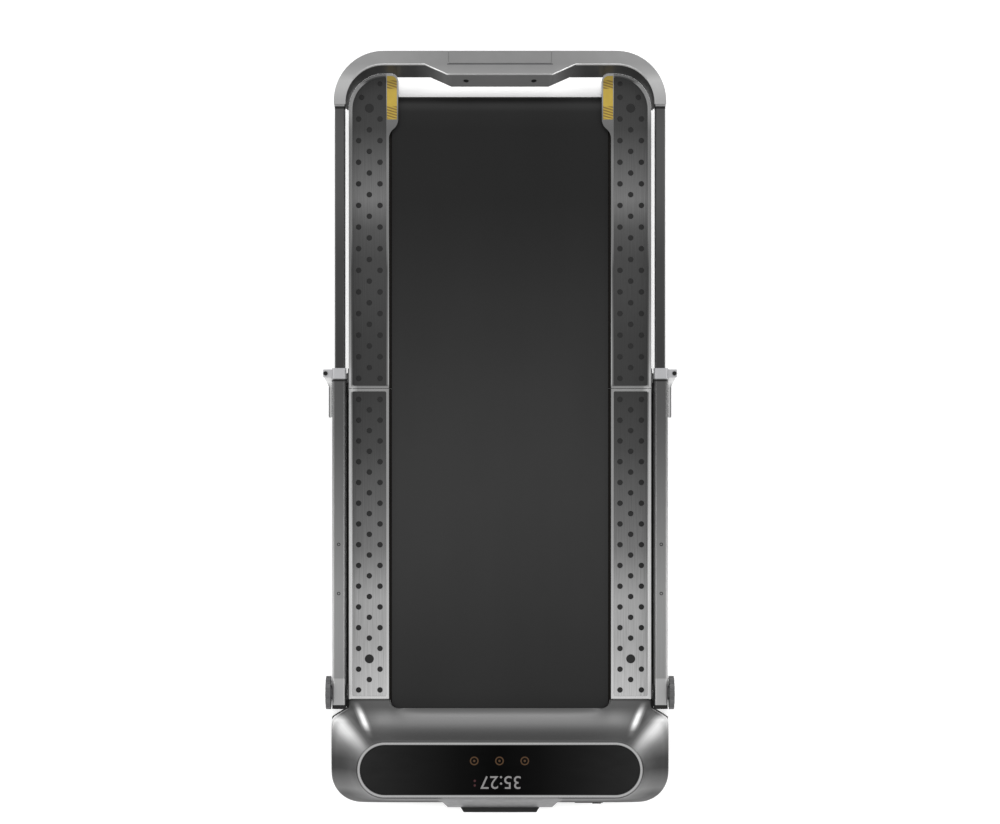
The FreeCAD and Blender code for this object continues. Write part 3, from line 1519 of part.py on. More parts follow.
def handlebar():
    form = handlebar_form()
    reach = tube_outer_x + d.tube_width
    whole_y = (bar_arm_y - d.bar_spigot, bar_rear + d.bar_spigot)
    seam = tube_bottom + d.bar_seam
    spigot = upright_block("bar_spigot", inner_hollow, (bar_arm_y - d.bar_spigot, bar_arm_y))
    solid = fuse("handlebar_solid", form, spigot, mirrored("bar_spigot_left", spigot))
    flap_room = box(
        "flap_room",
        (-d.flap_half_width - d.flap_gap, d.flap_half_width + d.flap_gap),
        (flap_pin_y - d.flap_front_gap, bar_rear + d.flap_depth),
        (flap_z[0] - d.flap_gap, tube_top + d.flap_thickness),
    )
    screw_places = (-d.bar_screw_x, d.bar_screw_x)
    screw_rooms = []
    for x in screw_places:
        start = (x, screw_face_y - bar_bottom_width, pivot_height)
        length = bar_bottom_width + d.bar_screw_inset + d.bar_screw_length
        screw_rooms.append(rod("screw_room", "y", d.bar_screw_radius, start, length))
    pin_room = flap_pin("flap_pin_room", d.running_clearance)
    bored = cut("handlebar_bored", solid, flap_room, pin_room, *screw_rooms)
    upper = box("bar_upper", (-reach, reach), whole_y, (seam, tube_top + d.tube_height))
    lower = box("bar_lower", (-reach, reach), whole_y, (tube_bottom - d.tube_height, seam))
    sub_part("handlebar_shell", common("handlebar_shell", bored, upper))
    sub_part("handlebar_cover", common("handlebar_cover", bored, lower))
    screws = [bar_screw("bar_screw", x, d.bar_screw_radius, d.bar_screw_length) for x in screw_places]
    sub_part("handlebar_screws", group("handlebar_screws", *screws))


def handlebar_ferrules():
    """Bright sleeves at the ends of the inner tubes, against the bar."""
    y = (bar_arm_y - d.ferrule_length, bar_arm_y)
    sleeve = shrink(inner_section, -d.ferrule_wall)
    pair("handlebar_ferrules", upright_tube("ferrule", sleeve, inner_section, y))


def phone_flap():
    half = d.flap_half_width
    leaf = box("flap_leaf", (-half, half), flap_y, flap_z)
    sub_part("phone_flap", fuse("phone_flap", leaf, flap_pin("flap_pin", 0)))


def build_base():
    front_frame()
    deck_board("front_deck_board", front_board_y)
    deck_cushions("front_deck_cushions", front_board_y)
    front_rail_cover()
    tread_plates("front_tread_plate", front_recess_y, rear=False)
    grip_mats("front_grip_mat", front_recess_y, rear=False)
    base_pan()
    motor_hood()
    display()
    front_bumper()
    bumper_pad()
    transport_wheel()
    power_inlet()
    power_rocker()
    feet("front_feet", (hood_rear + d.foot_margin, front_deck_end - d.foot_margin))


def build_drive():
    belt_half("walking_belt_front", front_roller_y, front_deck_end)
    roller("drive_roller", front_roller_y)
    sub_part("drive_roller_shaft", roller_shaft("drive_roller_shaft", front_roller_y))
    drive_pulley()
    motor()
    drive_belt()
    motor_controller()


def build_rear_deck():
    rear_frame()
    deck_board("rear_deck_board", rear_board_y)
    deck_cushions("rear_deck_cushions", rear_board_y)
    rear_rail_cover()
    tread_plates("rear_tread_plate", rear_recess_y, rear=True)
    grip_mats("rear_grip_mat", rear_recess_y, rear=True)
    edge_inlays()
    rear_pan()
    feet("rear_feet", (rear_deck_start + d.foot_margin, rear_pan_end - d.foot_margin))
    belt_half("walking_belt_rear", rear_roller_y, rear_deck_start)
    roller("rear_roller", rear_roller_y)
    rear_roller_shaft()


def build_handrail():
    side_plate()
    rear_hinge_plates()
    deck_hinge_pins()
    uprights()
    pivot_blocks()
    pivot_bolts()
    pivot_knob()
    clamp_collars()
    clamp_pins()
    clamp_lever()
    handlebar()
    handlebar_ferrules()
    phone_flap()


def write_parts():
    """Checks every object and every sub-part's solids, then writes one file for each sub-part."""
    doc.recompute()
    failed = [piece.Name for piece in doc.Objects if {"Invalid", "Error"} & set(piece.State)]
    if failed:
        raise RuntimeError("failed objects: " + ", ".join(failed))
    for piece in sub_parts:
        if piece.Shape.isNull() or not piece.Shape.isValid() or not piece.Shape.Solids:
            raise RuntimeError("bad shape: " + piece.Label)
    os.makedirs("parts", exist_ok=True)
    for piece in sub_parts:
        piece.Shape.exportStep(f"parts/{piece.Label}.step")
    print(len(sub_parts), "sub-parts written")


build_base()
build_drive()
build_rear_deck()
build_handrail()
write_parts()
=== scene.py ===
import json
import math

import bmesh
import bpy
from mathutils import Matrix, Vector


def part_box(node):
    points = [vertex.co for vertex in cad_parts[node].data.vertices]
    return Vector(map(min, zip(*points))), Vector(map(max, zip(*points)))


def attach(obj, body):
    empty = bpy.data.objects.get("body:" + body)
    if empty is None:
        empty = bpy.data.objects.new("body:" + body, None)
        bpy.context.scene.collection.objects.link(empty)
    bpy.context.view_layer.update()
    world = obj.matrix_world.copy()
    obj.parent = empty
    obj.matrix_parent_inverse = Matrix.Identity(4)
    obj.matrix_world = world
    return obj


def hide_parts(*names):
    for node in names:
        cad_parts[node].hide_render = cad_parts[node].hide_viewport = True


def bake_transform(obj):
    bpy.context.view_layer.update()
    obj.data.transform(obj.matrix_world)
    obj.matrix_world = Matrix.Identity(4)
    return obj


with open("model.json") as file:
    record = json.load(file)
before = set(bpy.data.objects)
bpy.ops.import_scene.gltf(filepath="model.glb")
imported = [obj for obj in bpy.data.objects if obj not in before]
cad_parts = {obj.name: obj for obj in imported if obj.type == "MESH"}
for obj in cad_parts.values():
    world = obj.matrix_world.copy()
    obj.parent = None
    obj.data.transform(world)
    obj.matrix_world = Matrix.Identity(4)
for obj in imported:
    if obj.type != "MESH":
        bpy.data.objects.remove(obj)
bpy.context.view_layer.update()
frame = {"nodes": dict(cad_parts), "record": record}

# Sizes in metres, in the model's own frame: +X right, +Y rear, +Z up. Most are read off the CAD nodes.
MM = 0.001
front_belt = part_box("walking_belt_front")
rear_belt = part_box("walking_belt_rear")
BELT_HALF = front_belt[1].x
BELT_RADIUS = (front_belt[1].z - front_belt[0].z) / 2
BELT_THICKNESS = 2 * MM
ROLLER_Z = front_belt[0].z + BELT_RADIUS
FRONT_ROLLER_Y = front_belt[0].y + BELT_RADIUS
REAR_ROLLER_Y = rear_belt[1].y - BELT_RADIUS
HINGE_Y = (front_belt[1].y + rear_belt[0].y) / 2
BELT_ROWS = 40
FOLD_ROWS = 12
FOLD_STEP = 4 * MM

front_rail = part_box("front_rail_cover_right")
RAIL_INNER = front_rail[0].x
RAIL_OUTER = front_rail[1].x
RAIL_FRONT = front_rail[0].y
RAIL_TOP = front_rail[1].z
RAIL_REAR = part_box("rear_rail_cover_right")[1].y
RAIL_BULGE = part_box("rear_rail_cover_right")[0].x
RAIL_CORNER = 71.2 * MM
BULGE_CORNER = 14 * MM

hood_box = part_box("motor_hood")
HOOD_HALF = hood_box[1].x
HOOD_FRONT = hood_box[0].y
HOOD_TOP = hood_box[1].z
HOOD_SKIRT = hood_box[0].z
HOOD_REAR = RAIL_FRONT - 19.5 * MM
HOOD_SHOULDER = RAIL_FRONT - 41.5 * MM
HOOD_CORNER = 60 * MM
HOOD_WAIST = RAIL_TOP - 6 * MM
HOOD_DOORWAY = HOOD_WAIST - 1.2 * MM
HOOD_WALL = 3 * MM
HOOD_WINDOW_DEPTH = 4 * MM
TOE_BEND = 19 * MM
HOOD_BANDS = 26
HOOD_SMOOTHING = 24

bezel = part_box("display_bezel")
PANEL_HALF = bezel[1].x
PANEL_REAR = bezel[1].y
PANEL_FRONT = bezel[0].y
PANEL_LAND = 3 * MM
LENS_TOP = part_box("display_lens")[1].z
KEY_SPOTS = [(x * MM, -646.5 * MM) for x in (-51, -1, 49)]
KEY_RING = (6.2 * MM, 8.6 * MM)
LAMP_SPOTS = [(-50 * MM, y * MM) for y in (-686, -695)]
DOT_RADIUS = 2.4 * MM
DIGITS_X = (-39 * MM, 41 * MM)
DIGITS_Y = (-702 * MM, -676.5 * MM)

outer_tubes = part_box("upright_tubes_outer")
inner_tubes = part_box("upright_tubes_inner")
OUTER_TUBE_WIDTH = 26.4 * MM
INNER_TUBE_WIDTH = 20 * MM
TUBE_X = outer_tubes[1].x - OUTER_TUBE_WIDTH / 2
TUBE_TOP = outer_tubes[1].z
OUTER_TUBE_CORNER = 5 * MM
INNER_TUBE_CORNER = 3 * MM
TUBE_SCREWS_Y = (-219 * MM, -316.5 * MM)

BAR_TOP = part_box("handlebar_shell")[1].z
BAR_TOP_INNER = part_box("handlebar_shell")[1].y - 28.2 * MM
BAR_TOP_CORNER = 75 * MM
BAR_ARM_TOP_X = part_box("handlebar_shell")[1].x - 23.4 * MM
BAR_TOP_CENTRE = (BAR_ARM_TOP_X - BAR_TOP_CORNER, BAR_TOP_INNER - BAR_TOP_CORNER)
GRIP_HALF = 105 * MM
GRIP_STEP_END = 150.2 * MM
GRIP_DEPTH = 20 * MM
GRIP_LEAN = math.radians(29.08)
PLUG_X = 67 * MM
SHADOW_SKIRT_GAP = 0.1 * MM

END_STUD = (240 * MM, 700 * MM)
VIEW_SPOT = (0, 43.8 * MM, 5.07)

RIGHT = Vector((1, 0, 0))
REAR = Vector((0, 1, 0))
UP = Vector((0, 0, 1))


# Node helpers for the materials

def start_material(name):
    """A new material with its node tree and its shader."""
    material = bpy.data.materials.new(name)
    material.use_nodes = True
    tree = material.node_tree
    return material, tree, tree.nodes["Principled BSDF"]


def add_node(tree, kind, **settings):
    node = tree.nodes.new(kind)
    for key, value in settings.items():
        setattr(node, key, value)
    return node


def place(tree, stretch=(1, 1, 1)):
    """Object coordinates in metres, stretched along each axis."""
    coordinates = add_node(tree, "ShaderNodeTexCoord")
    mapping = add_node(tree, "ShaderNodeMapping")
    mapping.inputs["Scale"].default_value = stretch
    tree.links.new(coordinates.outputs["Object"], mapping.inputs["Vector"])
    return mapping.outputs["Vector"]


def axis_value(tree, axis, source="Object"):
    """One coordinate of a point, or of its normal."""
    coordinates = add_node(tree, "ShaderNodeTexCoord")
    parts = add_node(tree, "ShaderNodeSeparateXYZ")
    tree.links.new(coordinates.outputs[source], parts.inputs["Vector"])
    return parts.outputs[axis]


def off_middle(tree):
    """Distance from the machine's middle line, the same on the left and on the right."""
    distance = add_node(tree, "ShaderNodeMath", operation="ABSOLUTE")
    tree.links.new(axis_value(tree, "X"), distance.inputs[0])
    return distance.outputs["Value"]


def less(tree, source, start):
    """A value less a fixed start."""
    rest = add_node(tree, "ShaderNodeMath", operation="SUBTRACT")
    tree.links.new(source, rest.inputs[0])
    rest.inputs[1].default_value = start
    return rest.outputs["Value"]


def past(tree, source, start):
    """How far a value lies past a start, and nothing before it."""
    kept = add_node(tree, "ShaderNodeMath", operation="MAXIMUM")
    tree.links.new(less(tree, source, start), kept.inputs[0])
    kept.inputs[1].default_value = 0.0
    return kept.outputs["Value"]


def arm_length(tree, x, y):
    """The length of an arm from its two parts."""
    arm = add_node(tree, "ShaderNodeCombineXYZ")
    tree.links.new(x, arm.inputs["X"])
    tree.links.new(y, arm.inputs["Y"])
    length = add_node(tree, "ShaderNodeVectorMath", operation="LENGTH")
    tree.links.new(arm.outputs["Vector"], length.inputs[0])
    return length.outputs["Value"]


def off_spine(tree):
    """Distance from the spine of the round-ended display panel, the same all along its rim."""
    radius = (PANEL_REAR - PANEL_FRONT) / 2
    beyond = past(tree, off_middle(tree), PANEL_HALF - radius)
    return arm_length(tree, beyond, less(tree, axis_value(tree, "Y"), PANEL_REAR - radius))


def off_corner(tree):
    """Distance from the core of a rear rail, the same all along its outer side and its rounded rear end."""
    beyond = past(tree, off_middle(tree), RAIL_OUTER - RAIL_CORNER)
    return arm_length(tree, beyond, past(tree, axis_value(tree, "Y"), RAIL_REAR - RAIL_CORNER))


def noise(tree, scale, detail=4.0, stretch=(1, 1, 1)):
    texture = add_node(tree, "ShaderNodeTexNoise")
    texture.inputs["Scale"].default_value = scale
    texture.inputs["Detail"].default_value = detail
    tree.links.new(place(tree, stretch), texture.inputs["Vector"])
    return texture.outputs["Fac"]


def spread(tree, source, low, high):
    """Maps the middle of a noise on to low to high."""
    mapper = add_node(tree, "ShaderNodeMapRange")
    mapper.inputs["From Min"].default_value = 0.3
    mapper.inputs["From Max"].default_value = 0.7
    mapper.inputs["To Min"].default_value = low
    mapper.inputs["To Max"].default_value = high
    tree.links.new(source, mapper.inputs["Value"])
    return mapper.outputs["Result"]


def tone_ramp(tree, source, stops):
    """A grey that follows stops of (value, grey)."""
    low, high = stops[0][0], stops[-1][0]
    mapper = add_node(tree, "ShaderNodeMapRange")
    mapper.inputs["From Min"].default_value = low
    mapper.inputs["From Max"].default_value = high
    tree.links.new(source, mapper.inputs["Value"])
    ramp = add_node(tree, "ShaderNodeValToRGB")
    elements = ramp.color_ramp.elements
    for value, grey in stops[1:-1]:
        elements.new((value - low) / (high - low))
    for element, (value, grey) in zip(elements, stops):
        element.color = (grey, grey, grey, 1)
    tree.links.new(mapper.outputs["Result"], ramp.inputs["Fac"])
    return ramp.outputs["Color"]


def tone_along(tree, stops):
    """A grey that follows the machine's length."""
    return tone_ramp(tree, axis_value(tree, "Y"), stops)


def tone_across(tree, stops):
    """A grey that follows the distance from the machine's middle line."""
    return tone_ramp(tree, off_middle(tree), stops)


def blend_colours(tree, factor, first, second):
    """Mixes two colours, each a tuple or a socket, by a factor socket."""
    mixer = add_node(tree, "ShaderNodeMix", data_type="RGBA")
    tree.links.new(factor, mixer.inputs["Factor"])
    for socket, colour in ((mixer.inputs["A"], first), (mixer.inputs["B"], second)):
        if isinstance(colour, tuple):
            socket.default_value = (*colour, 1)
        else:
            tree.links.new(colour, socket)
    return mixer.outputs["Result"]


def multiply(tree, first, second):
    mixer = add_node(tree, "ShaderNodeMix", data_type="RGBA", blend_type="MULTIPLY")
    mixer.inputs["Factor"].default_value = 1.0
    tree.links.new(first, mixer.inputs["A"])
    tree.links.new(second, mixer.inputs["B"])
    return mixer.outputs["Result"]


def bump(tree, shader, source, depth, distance=0.0005):
    node = add_node(tree, "ShaderNodeBump")
    node.inputs["Strength"].default_value = depth
    node.inputs["Distance"].default_value = distance
    tree.links.new(source, node.inputs["Height"])
    tree.links.new(node.outputs["Normal"], shader.inputs["Normal"])


def coat(tree, shader, colour, wear, rough, metallic=0.0, gloss=0.5):
    """Gives a shader its colour, and a roughness between two values that follows a wear texture."""
    tree.links.new(colour, shader.inputs["Base Color"])
    tree.links.new(spread(tree, wear, *rough), shader.inputs["Roughness"])
    shader.inputs["Metallic"].default_value = metallic
    shader.inputs["Specular IOR Level"].default_value = gloss


def grey(value):
    return (value, value, value)


def shade(colour, share):
    return tuple(min(channel * share, 1.0) for channel in colour)


def wear_down(tree, tone, wear, share, value):
    """Takes a tone up to a share of the way to a grey, as a wear texture says."""
    return blend_colours(tree, spread(tree, wear, 0.0, share), tone, grey(value))


# Materials

def finish(name, colour, rough, metallic=0.0, grain=900, depth=0.1, stretch=(1, 1, 1), vary=0.12, gloss=0.5):
    """A surface with mottled colour, uneven roughness and a fine grain."""
    material, tree, shader = start_material(name)
    mottle = noise(tree, 14, 6)
    tint = blend_colours(tree, mottle, shade(colour, 1 - vary), shade(colour, 1 + vary))
    coat(tree, shader, tint, noise(tree, 60, 5, stretch), (rough - 0.05, rough + 0.05), metallic, gloss)
    bump(tree, shader, noise(tree, grain, 3, stretch), depth)
    return material


def toned_metal(name, along, edge_highlight_along, across, shadow, rough, metallic, stretch, lines=None):
    """Metal with a drawn grain and painted light. A painted reflection ramp along the machine gives way to a
    painted highlight ramp at the outer edge.

    The shadow ramp paints shade by the distance from the middle line, and lines(tree) may paint more shade on
    it.
    """
    material, tree, shader = start_material(name)
    # The body ramp is a painted reflection along the machine, and the edge ramp a painted highlight
    body = tone_along(tree, along)
    edge = tone_along(tree, edge_highlight_along)
    tone = blend_colours(tree, tone_across(tree, across), body, edge)
    tone = multiply(tree, tone, tone_across(tree, shadow))
    if lines:
        tone = multiply(tree, tone, lines(tree))
    drawn = noise(tree, 1, 3, stretch)
    worn = wear_down(tree, tone, drawn, 0.1, 0.02)
    coat(tree, shader, worn, drawn, (rough - 0.04, rough + 0.04), metallic)
    bump(tree, shader, drawn, 0.05)
    return material


def rim_shade_lines(tree):
    """Painted shade on the rails' rims: dark lines along their inner edges, beside the tread plates and round
    the rear end.
    """
    outer = tone_across(tree, [(0.2925, 1.0), (0.293, 0.35), (0.2973, 0.36), (0.2987, 1.0)])
    outer_run = tone_along(tree, [
        (-0.25, 0.0), (-0.05, 0.55), (0.083, 1.0), (0.0845, 0.0), (0.0945, 0.0), (0.096, 1.0), (0.33, 1.0),
        (0.4, 0.0),
    ])
    inner = tone_across(tree, [
        (0.2225, 1.0), (0.2245, 0.45), (0.2265, 0.24), (0.2925, 0.3), (0.293, 1.0),
    ])
    inner_run = tone_along(tree, [(0.0945, 0.0), (0.096, 1.0), (0.33, 1.0), (0.4, 0.0)])
    end = tone_ramp(tree, off_corner(tree), [
        (0.0632, 0.2), (0.0661, 0.2), (0.0672, 0.4), (0.0683, 0.6), (0.0695, 0.5), (0.0705, 0.36),
        (0.0712, 0.3),
    ])
    behind_plates = tone_along(tree, [(0.698, 0.0), (0.705, 1.0)])
    beside_inlays = tone_across(tree, [(0.226, 0.0), (0.229, 1.0)])
    end_run = multiply(tree, behind_plates, beside_inlays)
    lines = blend_colours(tree, end_run, (1, 1, 1), end)
    for run, line in ((outer_run, outer), (inner_run, inner)):
        lines = multiply(tree, lines, blend_colours(tree, run, (1, 1, 1), line))
    return lines


def rail_silver():
    # The first ramp is a painted reflection along the rails, the second a painted highlight on their outer
    # rims
    along = [
        (-0.53, 0.8), (-0.412, 0.66), (-0.332, 0.6), (-0.232, 0.47), (-0.132, 0.38), (0.068, 0.35),
        (0.0955, 0.34), (0.0975, 0.62), (0.148, 0.62), (0.268, 0.45), (0.348, 0.36), (0.4, 0.25),
        (0.468, 0.27), (0.548, 0.28), (0.608, 0.18), (0.638, 0.21), (0.668, 0.36), (0.705, 0.42),
        (0.72, 0.45),
    ]
    edge_highlight_along = [
        (-0.53, 0.95), (-0.472, 0.97), (-0.412, 1.0), (-0.332, 1.0), (-0.232, 0.95), (-0.132, 0.85),
        (-0.032, 0.8), (0.078, 0.72), (0.118, 0.74), (0.148, 0.54), (0.188, 0.46), (0.268, 0.32),
        (0.348, 0.26), (0.408, 0.28), (0.468, 0.3), (0.548, 0.26), (0.608, 0.25), (0.645, 0.42),
        (0.72, 0.48),
    ]
    across = [(0.285, 0.0), (0.295, 1.0)]
    # Painted shadow on the rails' outer side faces
    shadow = [(0.2, 1.0), (0.3018, 1.0), (0.3024, 0.6)]
    return toned_metal("rail_silver", along, edge_highlight_along, across, shadow, 0.3, 0.85, (900, 30, 900), rim_shade_lines)


def tread_metal():
    """Brushed grey metal with a painted reflection gradient along the deck."""
    material, tree, shader = start_material("tread_metal")
    # Painted reflection: lighter and darker bands along the deck
    tone = tone_along(tree, [
        (-0.53, 0.67), (-0.47, 0.577), (-0.41, 0.48), (-0.33, 0.454), (-0.23, 0.224), (-0.13, 0.14),
        (-0.03, 0.075), (0.08, 0.051), (0.19, 0.053), (0.27, 0.066), (0.35, 0.073), (0.41, 0.105),
        (0.47, 0.211), (0.55, 0.122), (0.61, 0.063), (0.71, 0.045),
    ])
    streaks = noise(tree, 1, 3, (900, 12, 900))
    brushed = wear_down(tree, tone, streaks, 0.35, 0.02)
    coat(tree, shader, brushed, streaks, (0.3, 0.44), metallic=0.75)
    bump(tree, shader, streaks, 0.12)
    return material


def tube_grey():
    # Painted reflection along the tubes, a painted highlight on their outer edges and painted shade on their
    # inner faces
    along = [
        (-0.54, 0.4), (-0.4865, 0.4), (-0.4855, 0.18), (-0.484, 0.265), (-0.412, 0.275), (-0.332, 0.27),
        (-0.232, 0.21), (-0.132, 0.158), (-0.032, 0.108), (0.028, 0.086), (0.11, 0.076),
    ]
    edge_highlight_along = [
        (-0.54, 0.56), (-0.472, 0.5), (-0.412, 0.49), (-0.332, 0.46), (-0.232, 0.31), (-0.132, 0.2),
        (-0.032, 0.125), (0.028, 0.1), (0.11, 0.09),
    ]
    across = [(0.3305, 0.0), (0.332, 0.6), (0.3335, 1.0)]
    shadow = [(0.307, 0.04), (0.3075, 0.12), (0.3085, 0.6), (0.311, 1.0)]
    return toned_metal("tube_grey", along, edge_highlight_along, across, shadow, 0.36, 0.6, (1500, 20, 1500))


def tube_dark():
    # Painted reflection along the inner tubes, a painted highlight on their outer edges and painted shade on
    # their inner faces
    along = [
        (0.1, 0.036), (0.188, 0.038), (0.268, 0.045), (0.348, 0.048), (0.408, 0.062), (0.468, 0.076),
        (0.608, 0.08), (0.655, 0.07),
    ]
    edge_highlight_along = [(0.1, 0.1), (0.655, 0.14)]
    across = [(0.3255, 0.0), (0.327, 0.5), (0.3285, 1.0)]
    shadow = [(0.3085, 0.1), (0.309, 0.2), (0.31, 0.7), (0.312, 1.0)]
    return toned_metal("tube_dark", along, edge_highlight_along, across, shadow, 0.36, 0.6, (1500, 20, 1500))


def belt_rubber():
    """Near-black belt with a fine woven texture, painted light along its length and a painted highlight over
    the rear roller.
    """
    material, tree, shader = start_material("belt_rubber")
    weave = add_node(tree, "ShaderNodeTexVoronoi", feature="F1")
    weave.inputs["Scale"].default_value = 620
    tree.links.new(place(tree), weave.inputs["Vector"])
    # Painted light along the belt, with a painted highlight on its curve over the rear roller
    tone = tone_along(tree, [
        (-0.512, 0.0185), (-0.412, 0.0215), (-0.332, 0.0245), (-0.232, 0.027), (-0.132, 0.028),
        (-0.032, 0.027), (0.078, 0.0245), (0.188, 0.0205), (0.268, 0.0185), (0.348, 0.0155),
        (0.468, 0.0118), (0.608, 0.0115), (0.645, 0.014), (0.6585, 0.026), (0.6645, 0.014), (0.669, 0.005),
    ])
    scuffs = noise(tree, 5, 7, (1, 0.35, 1))
    worn = wear_down(tree, tone, scuffs, 0.15, 0.01)
    coat(tree, shader, worn, scuffs, (0.66, 0.8), gloss=0.1)
    bump(tree, shader, weave.outputs["Distance"], 0.2, 0.0004)
    return material


def striped_yellow():
    """Yellow inlay with slanted brown bars near each end."""
    material, tree, shader = start_material("inlay_yellow")
    bars = add_node(tree, "ShaderNodeTexWave", bands_direction="DIAGONAL", wave_profile="SIN")
    bars.inputs["Scale"].default_value = 112
    tree.links.new(place(tree, (0.3, 1, 0)), bars.inputs["Vector"])
    barred = tone_along(tree, [
        (0.629, 0.0), (0.632, 0.9), (0.655, 0.9), (0.6555, 0.0), (0.69, 0.0), (0.6905, 0.9), (0.707, 0.9),
        (0.7075, 0.0), (0.716, 0.0),
    ])
    worn = blend_colours(tree, noise(tree, 90, 5), (0.32, 0.22, 0.025), (0.4, 0.285, 0.036))
    tint = blend_colours(tree, multiply(tree, barred, bars.outputs["Color"]), worn, (0.11, 0.06, 0.008))
    tree.links.new(tint, shader.inputs["Base Color"])
    shader.inputs["Roughness"].default_value = 0.4
    bump(tree, shader, noise(tree, 700, 2), 0.06)
    return material


def slanted(tree, slope):
    """Distance from the middle line less a slope times Y, level along a line that runs across a shoulder."""
    sum_up = add_node(tree, "ShaderNodeMath", operation="MULTIPLY_ADD")
    tree.links.new(axis_value(tree, "Y"), sum_up.inputs[0])
    sum_up.inputs[1].default_value = -slope
    tree.links.new(off_middle(tree), sum_up.inputs[2])
    return sum_up.outputs["Value"]


def highlight_streak(tree, slope, profile, fade):
    """How strongly a painted highlight shows: a profile across it and a fade along the machine."""
    across = tone_ramp(tree, slanted(tree, slope), profile)
    return multiply(tree, across, tone_along(tree, fade))


def hood_paint():
    """Metallic grey with painted light: a painted highlight band along the rear slope and two painted
    highlight streaks across each shoulder.
    """
    material, tree, shader = start_material("hood_grey")
    # Painted highlight band on the rear slope, with a painted shadow line where the hood meets the rails
    middle = tone_along(tree, [
        (-0.74, 0.09), (-0.6, 0.075), (-0.5943, 0.085), (-0.5884, 0.11), (-0.5824, 0.145), (-0.5765, 0.175),
        (-0.5705, 0.19), (-0.5645, 0.18), (-0.5586, 0.14), (-0.5526, 0.1), (-0.5467, 0.08), (-0.535, 0.09),
        (-0.5325, 0.05), (-0.53, 0.05),
    ])
    # Painted light and shade along the sides, with the same painted shadow line at the rail ends
    sides = tone_along(tree, [
        (-0.74, 0.15), (-0.7193, 0.11), (-0.7074, 0.18), (-0.6876, 0.11), (-0.6677, 0.034), (-0.6479, 0.034),
        (-0.628, 0.07), (-0.6, 0.065), (-0.55, 0.07), (-0.535, 0.08), (-0.5325, 0.045), (-0.53, 0.045),
    ])
    to_side = tone_across(tree, [(0.18, 0.0), (0.24, 0.35), (0.285, 1.0)])
    base = blend_colours(tree, to_side, middle, sides)
    over_bumper = tone_across(tree, [(0.112, 1.0), (0.125, 0.0)])
    at_front = tone_along(tree, [(-0.722, 1.0), (-0.715, 0.0)])
    base = blend_colours(tree, multiply(tree, over_bumper, at_front), base, grey(0.3))
    # Painted highlight streaks across each shoulder, one broad and one narrow
    broad = highlight_streak(tree, 1.0, [
        (0.86, 0.0), (0.872, 0.08), (0.88, 0.3), (0.89, 0.8), (0.898, 1.0), (0.908, 0.88), (0.918, 0.6),
        (0.928, 0.36), (0.945, 0.18), (0.97, 0.06), (1.0, 0.0),
    ], [
        (-0.66, 0.0), (-0.648, 0.05), (-0.628, 0.2), (-0.608, 0.55), (-0.598, 0.68), (-0.578, 0.8),
        (-0.572, 1.0), (-0.565, 0.8), (-0.556, 0.25), (-0.546, 0.05),
    ])
    narrow = highlight_streak(tree, 0.46, [
        (0.524, 0.0), (0.528, 0.15), (0.532, 0.8), (0.535, 1.0), (0.538, 0.8), (0.542, 0.2), (0.547, 0.0),
    ], [
        (-0.604, 0.0), (-0.592, 0.1), (-0.584, 0.6), (-0.577, 1.0), (-0.562, 1.0), (-0.553, 0.6),
        (-0.545, 0.2), (-0.535, 0.0),
    ])
    lit = blend_colours(tree, broad, base, grey(0.85))
    lit = blend_colours(tree, narrow, lit, grey(0.95))
    flakes = noise(tree, 2200, 2)
    tint = wear_down(tree, lit, flakes, 0.06, 0.03)
    coat(tree, shader, tint, flakes, (0.4, 0.46), metallic=0.2, gloss=0.25)
    return material


def bezel_metal():
    """Bright satin rim with a black seal along its inner edge."""
    material, tree, shader = start_material("bezel_metal")
    tone = tone_ramp(tree, off_spine(tree), [
        (0.048, 0.004), (0.0493, 0.004), (0.0502, 0.4), (0.0515, 0.52), (0.0535, 0.5), (0.0546, 0.3),
    ])
    grain = noise(tree, 1200, 3)
    worn = wear_down(tree, tone, grain, 0.06, 0.2)
    coat(tree, shader, worn, grain, (0.26, 0.34), metallic=0.8)
    bump(tree, shader, grain, 0.04)
    return material


def lever_chrome():
    """Polished metal with painted reflections: near white at the hub, with a painted dark line along the
    outside of the arm.
    """
    material, tree, shader = start_material("lever_chrome")
    # Painted reflection across the arm: lighter inside, dark along its outer side
    arm = tone_across(tree, [
        (0.3345, 0.3), (0.336, 0.55), (0.3375, 0.55), (0.3388, 0.18), (0.341, 0.14), (0.345, 0.5),
    ])
    to_hub = tone_along(tree, [(0.092, 0.0), (0.104, 1.0)])
    tone = blend_colours(tree, to_hub, arm, grey(0.92))
    streaks = noise(tree, 900, 3)
    worn = wear_down(tree, tone, streaks, 0.06, 0.2)
    coat(tree, shader, worn, streaks, (0.2, 0.26), metallic=0.5)
    return material


